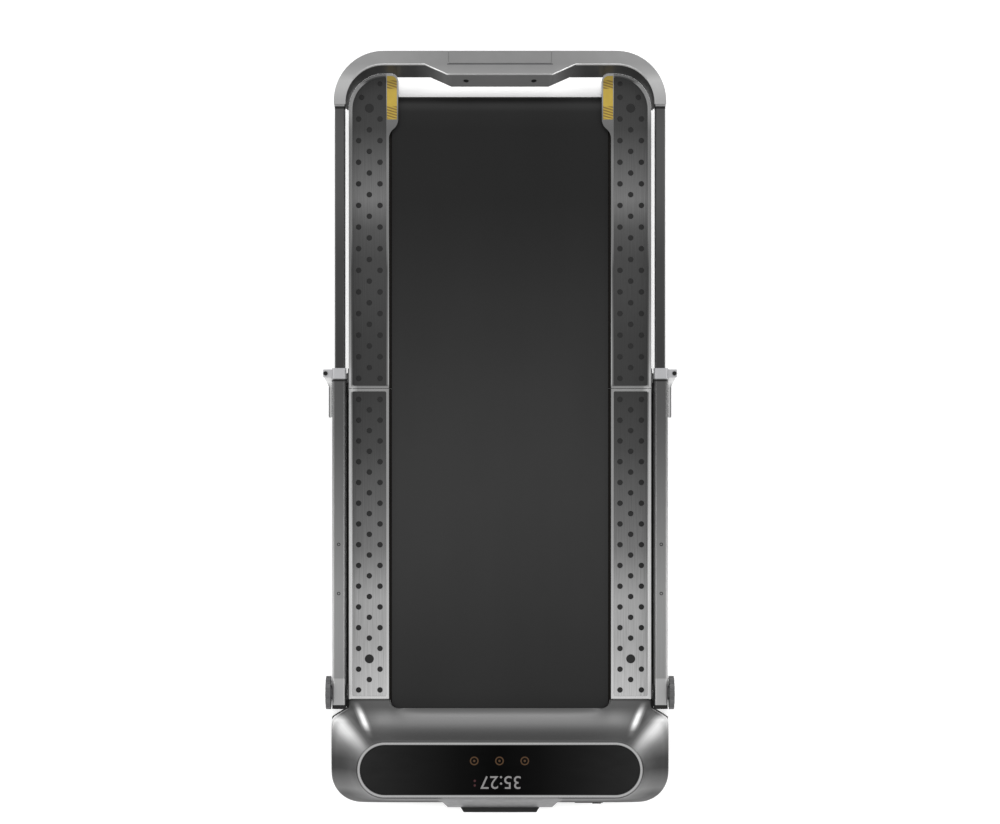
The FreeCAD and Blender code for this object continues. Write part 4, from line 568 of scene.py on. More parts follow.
def bar_paint():
    """Satin grey paint with painted light on its top, and painted shade on the darker faces below it."""
    material, tree, shader = start_material("bar_paint")
    # Faces that point up near the top take the painted light, all others the painted shade
    facing_up = tone_ramp(tree, axis_value(tree, "Z", "Normal"), [(0.56, 0.0), (0.76, 1.0)])
    near_top = tone_ramp(tree, axis_value(tree, "Z"), [(0.1045, 0.0), (0.106, 1.0)])
    painted_lit_top = multiply(tree, facing_up, near_top)
    # Painted light along the bar's top, lighter towards the arms
    along = tone_along(tree, [
        (0.655, 0.3), (0.662, 0.31), (0.682, 0.36), (0.702, 0.4), (0.71, 0.35), (0.716, 0.3), (0.735, 0.245),
        (0.761, 0.25),
    ])
    highlight_to_arms = tone_across(tree, [(0.0, 0.78), (0.1, 0.8), (0.2, 0.93), (0.28, 1.0)])
    top = multiply(tree, along, highlight_to_arms)
    mottled = wear_down(tree, top, noise(tree, 10, 6), 0.08, 0.1)
    # Painted shade on the faces below the top
    below = tone_across(tree, [
        (0.0, 0.17), (0.095, 0.16), (0.11, 0.2), (0.135, 0.1), (0.17, 0.05), (0.3, 0.035),
    ])
    painted = blend_colours(tree, painted_lit_top, below, mottled)
    coat(tree, shader, painted, noise(tree, 70, 4), (0.34, 0.44), metallic=0.35)
    bump(tree, shader, noise(tree, 1500, 2), 0.05)
    return material


def brow_highlight_paint():
    """The bar's paint with a painted highlight where its edge catches the light, brightest on the two steps
    beside the grip.
    """
    material, tree, shader = start_material("brow_highlight_paint")
    tone = tone_across(tree, [
        (0.0, 0.25), (0.098, 0.26), (0.108, 0.62), (0.128, 0.8), (0.146, 0.55), (0.165, 0.38), (0.23, 0.42),
        (0.262, 0.36), (0.288, 0.3),
    ])
    mottled = wear_down(tree, tone, noise(tree, 40, 5), 0.1, 0.1)
    coat(tree, shader, mottled, noise(tree, 70, 4), (0.32, 0.4), metallic=0.3)
    return material


def glowing(name, colour, strength):
    """A lit mark on the display."""
    material, tree, shader = start_material(name)
    shader.inputs["Base Color"].default_value = (*shade(colour, 0.1), 1)
    shader.inputs["Specular IOR Level"].default_value = 0.05
    shader.inputs["Emission Color"].default_value = (*colour, 1)
    flicker = spread(tree, noise(tree, 800, 2), strength * 0.85, strength)
    tree.links.new(flicker, shader.inputs["Emission Strength"])
    return material


def display_gloss():
    """Polished black panel with faint smears, a little lighter towards its ends."""
    material, tree, shader = start_material("display_gloss")
    tone = tone_across(tree, [(0.0, 0.001), (0.08, 0.003), (0.16, 0.008), (0.28, 0.018)])
    smears = noise(tree, 22, 6, (1, 3, 1))
    tint = wear_down(tree, tone, smears, 0.2, 0.004)
    coat(tree, shader, tint, smears, (0.12, 0.2), gloss=0.03)
    return material


# A plain finish has a colour, a roughness, a metallic share, a grain and the depth of that grain
MATERIALS = {
    "frame_steel": finish("frame_steel", grey(0.006), 0.6, 0.0, 500, 0.1, gloss=0.15),
    "bright_steel": finish("bright_steel", (0.5, 0.5, 0.51), 0.3, 1.0, 500, 0.06),
    "black_screw": finish("black_screw", grey(0.006), 0.6, 0.0, 600, 0.05, gloss=0.2),
    "rail_silver": rail_silver(),
    "tread_metal": tread_metal(),
    "bezel_metal": bezel_metal(),
    "black_rubber": finish("black_rubber", grey(0.012), 0.75, 0.0, 700, 0.25, gloss=0.25),
    "belt": belt_rubber(),
    "deck_wood": finish("deck_wood", (0.008, 0.007, 0.006), 0.7, 0.0, 60, 0.2, (12, 1, 1), 0.3, 0.1),
    "hood_grey": hood_paint(),
    "bumper_grey": finish("bumper_grey", (0.11, 0.11, 0.112), 0.42, 0.3, 1300, 0.05),
    "pan_black": finish("pan_black", grey(0.008), 0.6, 0.0, 420, 0.2, gloss=0.2),
    "display_black": display_gloss(),
    "circuit": finish("circuit", (0.01, 0.08, 0.03), 0.45, 0.0, 300, 0.3),
    "controller_metal": finish("controller_metal", (0.4, 0.4, 0.41), 0.4, 0.9, 300, 0.1),
    "motor_black": finish("motor_black", grey(0.02), 0.45, 0.3, 500, 0.12),
    "tube_grey": tube_grey(),
    "tube_dark": tube_dark(),
    "collar_grey": finish("collar_grey", (0.36, 0.36, 0.37), 0.5, 0.3, 700, 0.1),
    "lever_chrome": lever_chrome(),
    "knob_grey": finish("knob_grey", (0.075, 0.075, 0.077), 0.5, 0.1, 650, 0.2),
    "bar_grey": bar_paint(),
    "bar_brow_highlight": brow_highlight_paint(),
    "inlay_yellow": striped_yellow(),
    "key_amber": glowing("key_amber", (0.30, 0.17, 0.09), 0.16),
    "digit_white": glowing("digit_white", (0.62, 0.60, 0.60), 0.32),
    "lamp_red": glowing("lamp_red", (0.35, 0.14, 0.15), 0.07),
}


# Edges and materials of the carried-over nodes

# Radius in millimetres on the sharp edges of a node
BEVELS = {
    "front_rail_cover_left": 0.5, "front_rail_cover_right": 0.5, "rear_rail_cover_left": 0.5,
    "rear_rail_cover_right": 0.5, "handlebar_shell": 2.6, "handlebar_cover": 1.2, "phone_flap": 0.5,
    "front_bumper": 1.0, "base_pan": 0.8, "rear_pan": 0.8, "display_bezel": 1.3,
    "pivot_blocks": 0.4, "pivot_caps": 1.5, "clamp_collars": 0.3, "clamp_pins": 0.8, "pivot_bolts": 0.6,
    "clamp_lever_left": 1.8, "clamp_lever_right": 1.8, "pivot_knob_left": 1.6, "pivot_knob_right": 1.6,
    "side_plate_left": 0.5, "side_plate_right": 0.5, "rear_hinge_plates": 0.5, "upright_tubes_outer": 0.4,
    "handlebar_ferrules": 0.6, "front_feet": 1.5, "rear_feet": 1.5, "transport_wheel_left": 2.0,
    "transport_wheel_right": 2.0, "power_rocker": 0.8, "power_inlet": 0.6,
}


def round_edges(piece, radius):
    """Rounds the sharp edges and keeps flat faces flat."""
    bevel = piece.modifiers.new("rounded_edges", "BEVEL")
    bevel.width = radius * MM
    bevel.segments = 3
    bevel.limit_method = "ANGLE"
    bevel.angle_limit = math.radians(35)
    bevel.use_clamp_overlap = True
    bevel.harden_normals = False
    normals = piece.modifiers.new("flat_faces", "WEIGHTED_NORMAL")
    normals.keep_sharp = True


def dress_nodes():
    slots = {part["node"]: part["material_slot"] for part in frame["record"]["subparts"]}
    for name, node in frame["nodes"].items():
        node.data.materials.clear()
        node.data.materials.append(MATERIALS[slots[name]])
        if name in BEVELS:
            round_edges(node, BEVELS[name])


# Mesh helpers

def new_piece(name, mesh_maker, material, body):
    """A mesh object made by mesh_maker(bm), riding on a body."""
    mesh = bpy.data.meshes.new(name)
    bm = bmesh.new()
    mesh_maker(bm)
    bmesh.ops.recalc_face_normals(bm, faces=bm.faces)
    bm.to_mesh(mesh)
    bm.free()
    piece = bpy.data.objects.new(name, mesh)
    bpy.context.collection.objects.link(piece)
    mesh.materials.append(MATERIALS[material])
    if body:
        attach(piece, body)
    return piece


def smooth_faces(piece, sharp_angle):
    """Smooth shading, broken at edges sharper than an angle in degrees."""
    for face in piece.data.polygons:
        face.use_smooth = True
    piece.data.set_sharp_from_angle(angle=math.radians(sharp_angle))


def rings_to_faces(bm, rings):
    """Quads between neighbouring closed rings of equal length."""
    loops = [[bm.verts.new(point) for point in ring] for ring in rings]
    for first, second in zip(loops, loops[1:]):
        count = len(first)
        for i in range(count):
            after = (i + 1) % count
            bm.faces.new((first[i], first[after], second[after], second[i]))
    return loops


def strip_to_faces(bm, rows):
    """Quads between neighbouring open rows of equal length."""
    lines = [[bm.verts.new(point) for point in row] for row in rows]
    for first, second in zip(lines, lines[1:]):
        for i in range(len(first) - 1):
            bm.faces.new((first[i], first[i + 1], second[i + 1], second[i]))


def arc_points(centre, radius, start, end, count):
    """Points on an arc, angles in degrees, both ends included."""
    points = []
    for i in range(count):
        angle = math.radians(start + (end - start) * i / (count - 1))
        points.append((centre[0] + radius * math.cos(angle), centre[1] + radius * math.sin(angle)))
    return points


def line_points(first, last, count):
    """Points on a straight run, the last one left out."""
    (x0, y0), (x1, y1) = first, last
    return [(x0 + (x1 - x0) * i / count, y0 + (y1 - y0) * i / count) for i in range(count)]


def circle(centre, radius, count=24):
    return arc_points(centre, radius, 0, 360 - 360 / count, count)


def rectangle(x, y):
    return [(x[0], y[0]), (x[1], y[0]), (x[1], y[1]), (x[0], y[1])]


def close_ends(bm, loops):
    """Faces over the first and the last ring of a run."""
    bm.faces.new(loops[0])
    bm.faces.new(loops[-1])


def prism(bm, plan, low, high):
    """A closed prism over a plan outline."""
    close_ends(bm, rings_to_faces(bm, [[(x, y, z) for x, y in plan] for z in (low, high)]))


def turned(bm, profile, centre, across, up, out):
    """A closed round boss from (radius, height) in millimetres.

    It has a centre, two directions across its face and one out of it.
    """
    rings = []
    for radius, height in profile:
        middle = centre + out * (height * MM)
        rings.append([middle + across * a + up * b for a, b in circle((0, 0), radius * MM)])
    close_ends(bm, rings_to_faces(bm, rings))


# Walking belt: one loop over both rollers, with its rows closer together at the fold

def belt_turn(roller_y, start):
    """The half turn round one roller as (y, z, ny, nz), from a start angle, clockwise seen from +X."""
    steps = 16
    points = []
    for i in range(1, steps):
        angle = start - math.pi * i / steps
        ny, nz = math.cos(angle), math.sin(angle)
        points.append((roller_y + BELT_RADIUS * ny, ROLLER_Z + BELT_RADIUS * nz, ny, nz))
    return points


def belt_path():
    """Points (y, z, ny, nz) round the loop on the belt's outer face, closer together at the fold."""
    reach = REAR_ROLLER_Y - FRONT_ROLLER_Y
    runs = [FRONT_ROLLER_Y + reach * i / BELT_ROWS for i in range(BELT_ROWS + 1)]
    runs += [HINGE_Y + step * FOLD_STEP for step in range(-FOLD_ROWS, FOLD_ROWS + 1)]
    runs = sorted(set(runs))
    points = [(y, ROLLER_Z + BELT_RADIUS, 0, 1) for y in runs]
    points += belt_turn(REAR_ROLLER_Y, math.pi / 2)
    points += [(y, ROLLER_Z - BELT_RADIUS, 0, -1) for y in reversed(runs)]
    points += belt_turn(FRONT_ROLLER_Y, -math.pi / 2)
    return points


def walking_belt():
    def make(bm):
        path = belt_path()
        edge = BELT_HALF - 0.6 * MM
        right = [(0, 0), (edge, 0), (BELT_HALF, 0.3), (BELT_HALF, 1.0), (0, 1.0)]
        left = [(-x, depth) for x, depth in reversed(right[1:-1])]
        rings = []
        for x, depth in right + left + right[:1]:
            inset = depth * BELT_THICKNESS
            rings.append([(x, y - ny * inset, z - nz * inset) for y, z, ny, nz in path])
        rings_to_faces(bm, rings)
        bmesh.ops.remove_doubles(bm, verts=bm.verts, dist=1e-6)

    belt = new_piece("walking_belt", make, "belt", None)
    smooth_faces(belt, 40)
    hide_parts("walking_belt_front", "walking_belt_rear")
    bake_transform(belt)


# Motor hood: a smooth shell from its outline up to the land round the display

def hood_half_outline():
    """The right half of the hood's foot, from the middle of its rear edge to the middle of its front."""
    shoulder = (HOOD_HALF, HOOD_SHOULDER)
    toe_in = (RAIL_INNER, RAIL_FRONT)
    toe_out = (RAIL_OUTER, RAIL_FRONT)
    rear = line_points((0, HOOD_REAR), (RAIL_INNER - TOE_BEND, HOOD_REAR), 12)
    rear += arc_points((RAIL_INNER - TOE_BEND, HOOD_REAR + TOE_BEND), TOE_BEND, -90, 0, 8)
    rear += line_points(toe_in, toe_out, 8)
    rear += line_points(toe_out, (RAIL_OUTER, HOOD_REAR), 3)
    side = line_points((RAIL_OUTER, HOOD_REAR), shoulder, 5)
    side += line_points(shoulder, (HOOD_HALF, HOOD_FRONT + HOOD_CORNER), 7)
    front = arc_points((HOOD_HALF - HOOD_CORNER, HOOD_FRONT + HOOD_CORNER), HOOD_CORNER, 0, -90, 12)
    front += line_points((HOOD_HALF - HOOD_CORNER, HOOD_FRONT), (0, HOOD_FRONT), 10)[1:]
    return rear, side, front + [(0, HOOD_FRONT)]


def panel_half_outline(rear_count, side_count, front_count, land):
    """The right half of the panel's outline with as many points as the foot has in each stretch."""
    radius = (PANEL_REAR - PANEL_FRONT) / 2 + land
    middle = (PANEL_REAR + PANEL_FRONT) / 2
    centre = (PANEL_HALF + land - radius, middle)
    straight = rear_count * 3 // 5
    rear = line_points((0, middle + radius), (centre[0], middle + radius), straight)
    rear += arc_points(centre, radius, 90, 40, rear_count - straight)
    side = arc_points(centre, radius, 36, -36, side_count)
    bend = front_count // 2
    front = arc_points(centre, radius, -40, -90, bend)
    front += line_points((centre[0], middle - radius), (0, middle - radius), front_count - bend)[1:]
    return rear + side + front + [(0, middle - radius)]


def hood_rise(share):
    """Height above the foot for a share of the way in: a flat toe, a shallow slope, then a steep bank."""
    knots = ((0.0, 0.0), (0.15, 0.008), (0.34, 0.14), (0.66, 0.42), (0.88, 0.78), (1.0, 1.0))
    for (x0, y0), (x1, y1) in zip(knots, knots[1:]):
        if share <= x1:
            return y0 + (y1 - y0) * (share - x0) / (x1 - x0)
    return 1.0


def full_ring(half):
    """A closed ring from a right half that starts and ends on the middle line."""
    left = [(-point[0], *point[1:]) for point in reversed(half[1:-1])]
    return list(half) + left


def hood_rings():
    """Rings from the inner foot, up over the bank, to the window for the display."""
    rear, side, front = hood_half_outline()
    foot = rear + side + front
    land = panel_half_outline(len(rear), len(side), len(front), PANEL_LAND)
    edge = panel_half_outline(len(rear), len(side), len(front), 0)
    toe_start = RAIL_INNER - TOE_BEND / 2
    rear_edge = HOOD_REAR - 1 * MM
    on_toe = [toe_start < x < RAIL_OUTER + 1 * MM and y > rear_edge for x, y in foot]
    waist = [RAIL_TOP if toe else HOOD_WAIST for toe in on_toe]
    skirt = [HOOD_DOORWAY if y > rear_edge else HOOD_SKIRT for x, y in foot]
    middle = (PANEL_REAR + PANEL_FRONT) / 2
    inner = [(max(x - HOOD_WALL, 0), y - math.copysign(HOOD_WALL, y - middle)) for x, y in foot]
    rings = [[(x, y, z) for (x, y), z in zip(inner, skirt)]]
    rings.append([(x, y, z) for (x, y), z in zip(foot, skirt)])
    for i in range(HOOD_BANDS + 1):
        share = i / HOOD_BANDS
        rise = hood_rise(share)
        rings.append([
            (x0 + (x1 - x0) * share, y0 + (y1 - y0) * share, base + (HOOD_TOP - base) * rise)
            for (x0, y0), (x1, y1), base in zip(foot, land, waist)
        ])
    rings.append([(x, y, HOOD_TOP) for x, y in edge])
    rings.append([(x, y, HOOD_TOP - HOOD_WINDOW_DEPTH) for x, y in edge])
    return [full_ring(ring) for ring in rings]


def motor_hood():
    def make(bm):
        loops = rings_to_faces(bm, hood_rings())
        # Only the bands between the foot and the land are smoothed
        bank = [vertex for ring in loops[3:HOOD_BANDS + 2] for vertex in ring]
        axes = {"use_axis_x": True, "use_axis_y": True, "use_axis_z": True}
        for step in range(HOOD_SMOOTHING):
            bmesh.ops.smooth_vert(bm, verts=bank, factor=0.5, **axes)

    hood = new_piece("motor_hood_shell", make, "hood_grey", "base")
    smooth_faces(hood, 50)
    smooth = hood.modifiers.new("smooth_form", "SUBSURF")
    smooth.levels = 1
    smooth.render_levels = 1
    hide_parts("motor_hood")


# Display marks, all to be read from the rear of the machine

def flat_ring(bm, centre, radii, low, high):
    """A thin annulus standing on the panel."""
    inner, outer = radii
    profile = ((inner, low), (inner, high), (outer, high), (outer, low), (inner, low))
    rings_to_faces(bm, [[(x, y, z) for x, y in circle(centre, radius, 40)] for radius, z in profile])
    bmesh.ops.remove_doubles(bm, verts=bm.verts, dist=1e-7)


def flat_disc(bm, centre, radius, low, high, count=20):
    """A thin disc with a chamfered top edge."""
    profile = ((radius, low), (radius, (low + high) / 2), (radius * 0.8, high))
    rings = [[(x, y, z) for x, y in circle(centre, size, count)] for size, z in profile]
    close_ends(bm, rings_to_faces(bm, rings))


def display_digits(low, high):
    """Four digits and a colon, fitted to their field and turned half round."""
    text = bpy.data.curves.new("digits", "FONT")
    text.body = "35:27"
    text.extrude = (high - low) / 2
    holder = bpy.data.objects.new("digits_text", text)
    bpy.context.collection.objects.link(holder)
    bpy.context.view_layer.update()
    shaped = bpy.data.meshes.new_from_object(holder)
    bpy.data.objects.remove(holder)
    points = [vertex.co.copy() for vertex in shaped.vertices]
    left, right = min(p.x for p in points), max(p.x for p in points)
    bottom, top = min(p.y for p in points), max(p.y for p in points)

    def make(bm):
        bm.from_mesh(shaped)
        for vertex in bm.verts:
            x = (vertex.co.x - left) / (right - left)
            y = (vertex.co.y - bottom) / (top - bottom)
            vertex.co.x = DIGITS_X[1] + (DIGITS_X[0] - DIGITS_X[1]) * x
            vertex.co.y = DIGITS_Y[1] + (DIGITS_Y[0] - DIGITS_Y[1]) * y
            vertex.co.z += (low + high) / 2

    digits = new_piece("display_digits", make, "digit_white", "base")
    bpy.data.meshes.remove(shaped)
    return digits


def display_marks():
    low, high = LENS_TOP - 0.2 * MM, LENS_TOP + 0.15 * MM

    def keys(bm):
        for spot in KEY_SPOTS:
            flat_ring(bm, spot, KEY_RING, low, high)
            flat_disc(bm, spot, DOT_RADIUS, low, high)

    def lamps(bm):
        for spot in LAMP_SPOTS:
            flat_disc(bm, spot, DOT_RADIUS, low, high)

    pieces = [
        new_piece("display_keys", keys, "key_amber", "base"),
        display_digits(low, high),
        new_piece("display_lamps", lamps, "lamp_red", "base"),
    ]


# Small trim on the handrail

def tube_screws():
    """Small button screws along the tops of the outer tubes."""
    profile = [(0.6, -0.6), (1.6, -0.6), (2.0, 0.15), (3.0, 0.35), (3.4, 0.0), (3.4, -0.8)]

    def make(bm):
        for x in (-TUBE_X, TUBE_X):
            for y in TUBE_SCREWS_Y:
                turned(bm, profile, Vector((x, y, TUBE_TOP)), RIGHT, REAR, UP)

    piece = new_piece("tube_screws", make, "black_screw", "handrail_lower")


def tube_section(x, z, corner, proud):
    """A tube's rounded outline as (x, z) points, grown by a small amount."""
    left, right = x[0] + corner, x[1] - corner
    low, high = z[0] + corner, z[1] - corner
    points = []
    for quarter, centre in enumerate(((right, high), (left, high), (left, low), (right, low))):
        points += arc_points(centre, corner + proud, quarter * 90, quarter * 90 + 90, 6)
    return points


def tube_seal(name, tubes, width, corner, y, body):
    """A thin black ring round each tube of a pair."""
    lip = 0.3 * MM
    profile = ((-0.3, y[0]), (0.12, y[0] + lip), (0.2, sum(y) / 2), (0.12, y[1] - lip), (-0.3, y[1]))
    z = (tubes[0].z, tubes[1].z)

    def make(bm):
        for x in ((tubes[1].x - width, tubes[1].x), (tubes[0].x, tubes[0].x + width)):
            rings = []
            for proud, at in profile:
                rings.append([(px, at, pz) for px, pz in tube_section(x, z, corner, proud * MM)])
            rings_to_faces(bm, rings)

    piece = new_piece(name, make, "black_screw", body)


def handrail_seals():
    outer_y = (outer_tubes[1].y - 5.5 * MM, outer_tubes[1].y - 2 * MM)
    inner_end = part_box("handlebar_ferrules")[0].y
    inner_y = (inner_end - 5 * MM, inner_end - 0.2 * MM)
    tube_seal("collar_seals", outer_tubes, OUTER_TUBE_WIDTH, OUTER_TUBE_CORNER, outer_y, "handrail_lower")
    tube_seal("ferrule_seals", inner_tubes, INNER_TUBE_WIDTH, INNER_TUBE_CORNER, inner_y, "handrail_upper")


def handlebar_shadow_skirt():
    """A thin, soft dark skirt along the inside of the handlebar, closing in on the rear rails just above
    them, standing in for the shade in that gap.
    """
    low_z, high_z = RAIL_TOP + 0.7 * MM, BAR_TOP - 1.5 * MM
    foot_start = (139.7 * MM, BAR_TOP_INNER - GRIP_DEPTH)
    head_start = (150 * MM, BAR_TOP_INNER)
    rail_y = RAIL_REAR + SHADOW_SKIRT_GAP
    rail_centre = (RAIL_OUTER - RAIL_CORNER, RAIL_REAR - RAIL_CORNER)
    tail_y = (rail_centre[1] - 0.5 * MM, rail_centre[1] - 2 * MM)

    corner = (RAIL_BULGE + BULGE_CORNER, RAIL_REAR - BULGE_CORNER)
    bend = BULGE_CORNER + SHADOW_SKIRT_GAP
    meets = 180 - math.degrees(math.asin((foot_start[1] - corner[1]) / bend))
    round_corner = arc_points(corner, bend, meets, 90, 8)[:-1]

    foot = line_points(foot_start, round_corner[0], 6)
    foot += round_corner
    foot += line_points((corner[0], rail_y), (rail_centre[0], rail_y), 5)
    foot += arc_points(rail_centre, RAIL_CORNER + SHADOW_SKIRT_GAP, 90, 0, 18)
    foot += [(RAIL_OUTER + SHADOW_SKIRT_GAP, y) for y in tail_y]
    head = line_points(head_start, (round_corner[0][0], BAR_TOP_INNER), 6)
    head += [(x, BAR_TOP_INNER) for x, y in round_corner]
    head += line_points((corner[0], BAR_TOP_INNER), (BAR_TOP_CENTRE[0], BAR_TOP_INNER), 5)
    head += arc_points(BAR_TOP_CENTRE, BAR_TOP_CORNER, 90, 0, 18)
    head += [(inner_tubes[1].x - INNER_TUBE_WIDTH - 0.3 * MM, y) for y in tail_y]

    def make(bm):
        middle = [((x0 + x1) / 2, (y0 + y1) / 2) for (x0, y0), (x1, y1) in zip(foot, head)]
        for side in (-1, 1):
            under = [(side * x, y, low_z) for x, y in middle]
            bottom = [(side * x, y, low_z) for x, y in foot]
            top = [(side * x, y, high_z) for x, y in head]
            strip_to_faces(bm, [under, bottom, top])

    piece = new_piece("handlebar_shadow_skirt", make, "bar_grey", "handrail_upper")
    smooth_faces(piece, 40)


def handlebar_brow():
    """A narrow chamfer with a painted highlight on the bar's top inner edge, along the grip, its two steps
    and into the corners.
    """
    profile = ((-0.7, -1.5), (0.6, 0.1), (2.6, 0.12), (3.0, -0.3))
    grip_y = BAR_TOP_INNER - GRIP_DEPTH - 0.1 * MM
    edge = line_points((0, grip_y), (GRIP_HALF, grip_y), 8)
    edge += line_points((GRIP_HALF, grip_y), (GRIP_STEP_END, BAR_TOP_INNER), 8)
    edge += line_points((GRIP_STEP_END, BAR_TOP_INNER), (BAR_TOP_CENTRE[0], BAR_TOP_INNER), 8)
    half = [(x, y, 0, 1) for x, y in edge]
    middle_x, middle_y = BAR_TOP_CENTRE
    for x, y in arc_points(BAR_TOP_CENTRE, BAR_TOP_CORNER, 90, 38, 14):
        half.append((x, y, (x - middle_x) / BAR_TOP_CORNER, (y - middle_y) / BAR_TOP_CORNER))
    line = [(-x, y, -nx, ny) for x, y, nx, ny in reversed(half[1:])] + half

    def make(bm):
        rows = []
        for inset, height in profile:
            step, z = inset * MM, BAR_TOP + height * MM
            rows.append([(x + nx * step, y + ny * step, z) for x, y, nx, ny in line])
        strip_to_faces(bm, rows)

    piece = new_piece("handlebar_brow", make, "bar_brow_highlight", "handrail_upper")
    smooth_faces(piece, 60)


def grip_plugs():
    """Black plugs over the two screws in the front face of the grip."""
    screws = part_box("handlebar_screws")
    out = UP * math.sin(GRIP_LEAN) - REAR * math.cos(GRIP_LEAN)
    up = UP * math.cos(GRIP_LEAN) + REAR * math.sin(GRIP_LEAN)
    profile = [(0.8, 0.1), (2.4, 0.2), (3.6, 0.9), (4.6, 0.6), (4.8, -0.4)]
    face_y = screws[0].y - 2 * MM
    middle_z = (screws[0].z + screws[1].z) / 2

    def make(bm):
        for x in (-PLUG_X, PLUG_X):
            turned(bm, profile, Vector((x, face_y, middle_z)), RIGHT, up, out)

    piece = new_piece("grip_plugs", make, "black_screw", "handrail_upper")


# Trim on the base, the deck and the flap, and black fillers that stand in for shade

def side_shadow_fill():
    """Black fillers in the slots between the side plates and the tubes, standing in for the shade in those
    slots.

    Each has a nose beside the pivot, a ledge below it, clear of the turning block, and a strip to the fold.
    """
    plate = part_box("side_plate_right")
    outside = plate[1].x
    beside_rail = RAIL_OUTER + 0.2 * MM
    front_y = HOOD_REAR + 2 * MM
    clear_y = -468 * MM
    plate_end = plate[1].y - 0.5 * MM
    tail_y = plate[1].y + 20 * MM
    trim_z = (60 * MM, outer_tubes[0].z - 1 * MM)
    ledge_z = (42 * MM, 53 * MM)

    nose = rectangle((beside_rail, outside + 0.35 * MM), (front_y, clear_y))
    ledge = rectangle((beside_rail, outside + 3 * MM), (front_y, clear_y))
    strip = [
        (outside - 0.1 * MM, clear_y), (outside + 1.3 * MM, clear_y), (outside + 1.3 * MM, tail_y - 6 * MM),
        (outside, tail_y), (outside - 1.7 * MM, tail_y), (outside - 1.7 * MM, plate_end),
        (outside - 0.1 * MM, plate_end),
    ]

    def make(bm):
        for side in (-1, 1):
            for plan, z in ((nose, trim_z), (ledge, ledge_z), (strip, trim_z)):
                prism(bm, [(side * x, y) for x, y in plan], *z)

    piece = new_piece("side_shadow_fill", make, "frame_steel", "base")
    round_edges(piece, 0.1)


def bolt_covers():
    """Black covers over the heads of the pivot bolts, on the side that faces the deck."""
    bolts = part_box("pivot_bolts")
    middle = (bolts[0] + bolts[1]) / 2
    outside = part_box("side_plate_right")[1].x
    profile = [(7.0, -3.4), (9.0, -3.2), (9.5, -2.6), (9.5, -1.9)]

    def make(bm):
        for side in (-1, 1):
            turned(bm, profile, Vector((side * outside, middle.y, middle.z)), REAR, UP, RIGHT * side)

    piece = new_piece("bolt_covers", make, "black_screw", "base")
    smooth_faces(piece, 40)


def flap_seam():
    """A dark strip on the bar along the front edge of the flap."""
    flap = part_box("phone_flap")
    y = (flap[0].y - 2.9 * MM, flap[0].y - 0.4 * MM)

    def make(bm):
        prism(bm, rectangle((flap[0].x, flap[1].x), y), BAR_TOP - 0.4 * MM, BAR_TOP + 0.1 * MM)

    piece = new_piece("flap_seam", make, "knob_grey", "handrail_upper")
    round_edges(piece, 0.08)


def fold_shadow_walls():
    """Black rubber walls in the fold, between the rails and between the ends of the deck boards, standing in
    for the shade down in the gap.
    """
    y = (HINGE_Y - 0.3 * MM, HINGE_Y + 0.3 * MM)
    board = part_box("front_deck_board")
    walls = (
        (RAIL_INNER + 1 * MM, RAIL_OUTER - 1 * MM, RAIL_TOP - 22 * MM, RAIL_TOP - 1 * MM),
        (BELT_HALF - 3 * MM, RAIL_INNER + 1 * MM, board[0].z + 1 * MM, board[1].z - 1 * MM),
    )

    def make(bm):
        for side in (-1, 1):
            for inner, outer, low, high in walls:
                prism(bm, rectangle((side * inner, side * outer), y), low, high)

    piece = new_piece("fold_shadow_walls", make, "black_rubber", "base")
    round_edges(piece, 0.1)


def end_studs():
    """One more rubber stud near the rear end of each tread plate."""
    plate_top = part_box("rear_tread_plates")[1].z

    def make(bm):
        for side in (-1, 1):
            spot = (side * END_STUD[0], END_STUD[1])
            flat_disc(bm, spot, 5 * MM, plate_top - 0.5 * MM, plate_top + 0.6 * MM, 28)

    piece = new_piece("end_studs", make, "black_rubber", "rear_deck")


def bumper_pad():
    """The dark pad on the bumper, with slanted ends."""
    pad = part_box("bumper_pad")
    slant = 6 * MM

    def make(bm):
        plan = [
            (pad[0].x, pad[1].y), (pad[0].x, pad[1].y - 1 * MM), (pad[0].x + slant, pad[0].y),
            (pad[1].x - slant, pad[0].y), (pad[1].x, pad[1].y - 1 * MM), (pad[1].x, pad[1].y),
        ]
        prism(bm, plan, pad[0].z, pad[1].z)

    piece = new_piece("bumper_pad_slanted", make, "black_rubber", "base")
    round_edges(piece, 1.2)
    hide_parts("bumper_pad")


# Floor, lights and camera

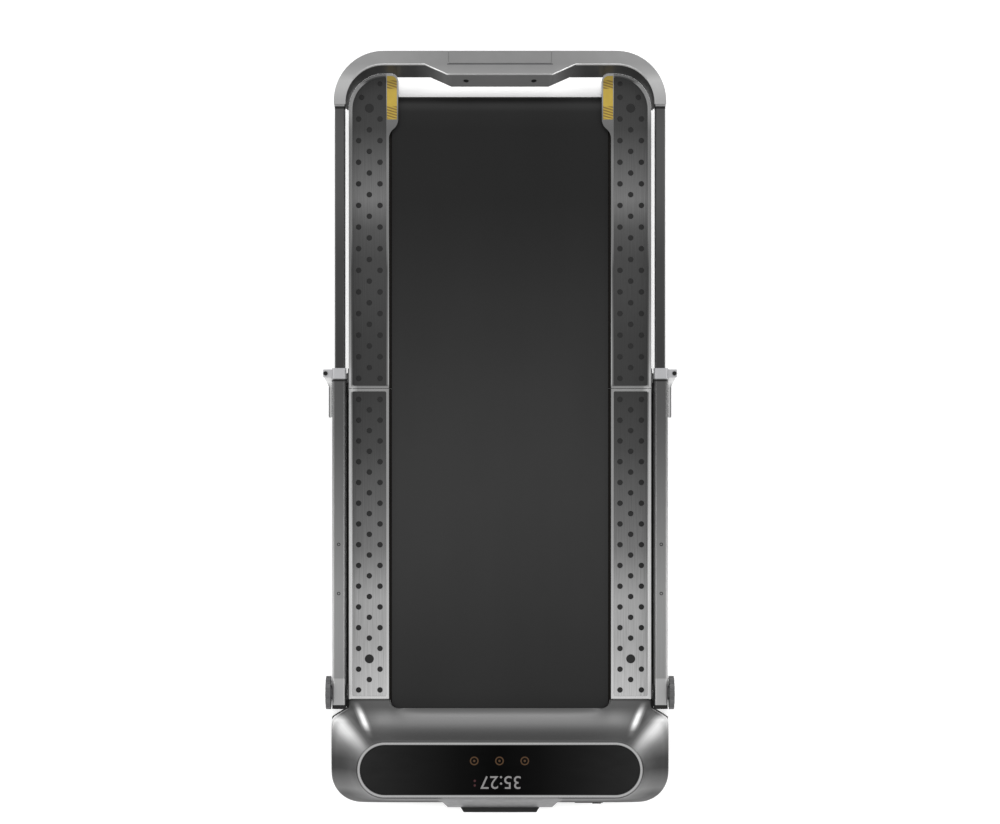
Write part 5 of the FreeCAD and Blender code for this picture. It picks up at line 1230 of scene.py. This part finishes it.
def floor_paper():
    """White paper that also glows a little, so the ground stays white between the parts."""
    material = finish("floor_paper", grey(0.86), 0.85, 0.0, 300, 0.02, vary=0.005, gloss=0.1)
    shader = material.node_tree.nodes["Principled BSDF"]
    shader.inputs["Emission Color"].default_value = (1, 1, 1, 1)
    shader.inputs["Emission Strength"].default_value = 0.35
    return material


def studio():
    def make_floor(bm):
        bmesh.ops.create_grid(bm, x_segments=8, y_segments=8, size=6)

    MATERIALS["floor_paper"] = floor_paper()
    new_piece("floor", make_floor, "floor_paper", None)

    world = bpy.data.worlds.new("studio")
    bpy.context.scene.world = world
    world.use_nodes = True
    backdrop = world.node_tree.nodes["Background"]
    backdrop.inputs["Color"].default_value = (1.0, 1.0, 1.0, 1)
    backdrop.inputs["Strength"].default_value = 0.62

    # Name, place, width and depth, and power
    panels = [
        ("key", (0.0, 3.2, 2.6), (3.4, 0.9), 75),
        ("left", (-3.0, -0.2, 2.4), (0.9, 3.2), 50),
        ("right", (3.0, -0.2, 2.4), (0.9, 3.2), 50),
        ("front", (0.0, -3.4, 2.4), (3.0, 0.8), 40),
    ]
    for name, spot, (wide, deep), power in panels:
        light = bpy.data.lights.new(name, "AREA")
        light.shape = "RECTANGLE"
        light.size = wide
        light.size_y = deep
        light.energy = power
        lamp = bpy.data.objects.new(name, light)
        lamp.location = spot
        aim = Vector((0, 0, 0.05)) - Vector(spot)
        lamp.rotation_euler = aim.to_track_quat("-Z", "Y").to_euler()
        bpy.context.collection.objects.link(lamp)


def camera():
    lens = bpy.data.cameras.new("camera")
    lens.lens = 90
    lens.sensor_width = 36
    eye = bpy.data.objects.new("camera", lens)
    eye.location = VIEW_SPOT
    bpy.context.collection.objects.link(eye)
    bpy.context.scene.camera = eye
    bpy.context.scene.view_settings.view_transform = "Standard"


dress_nodes()
walking_belt()
motor_hood()
display_marks()
tube_screws()
handrail_seals()
handlebar_shadow_skirt()
handlebar_brow()
grip_plugs()
side_shadow_fill()
bolt_covers()
flap_seam()
fold_shadow_walls()
end_studs()
bumper_pad()
studio()
camera()

bpy.context.view_layer.update()
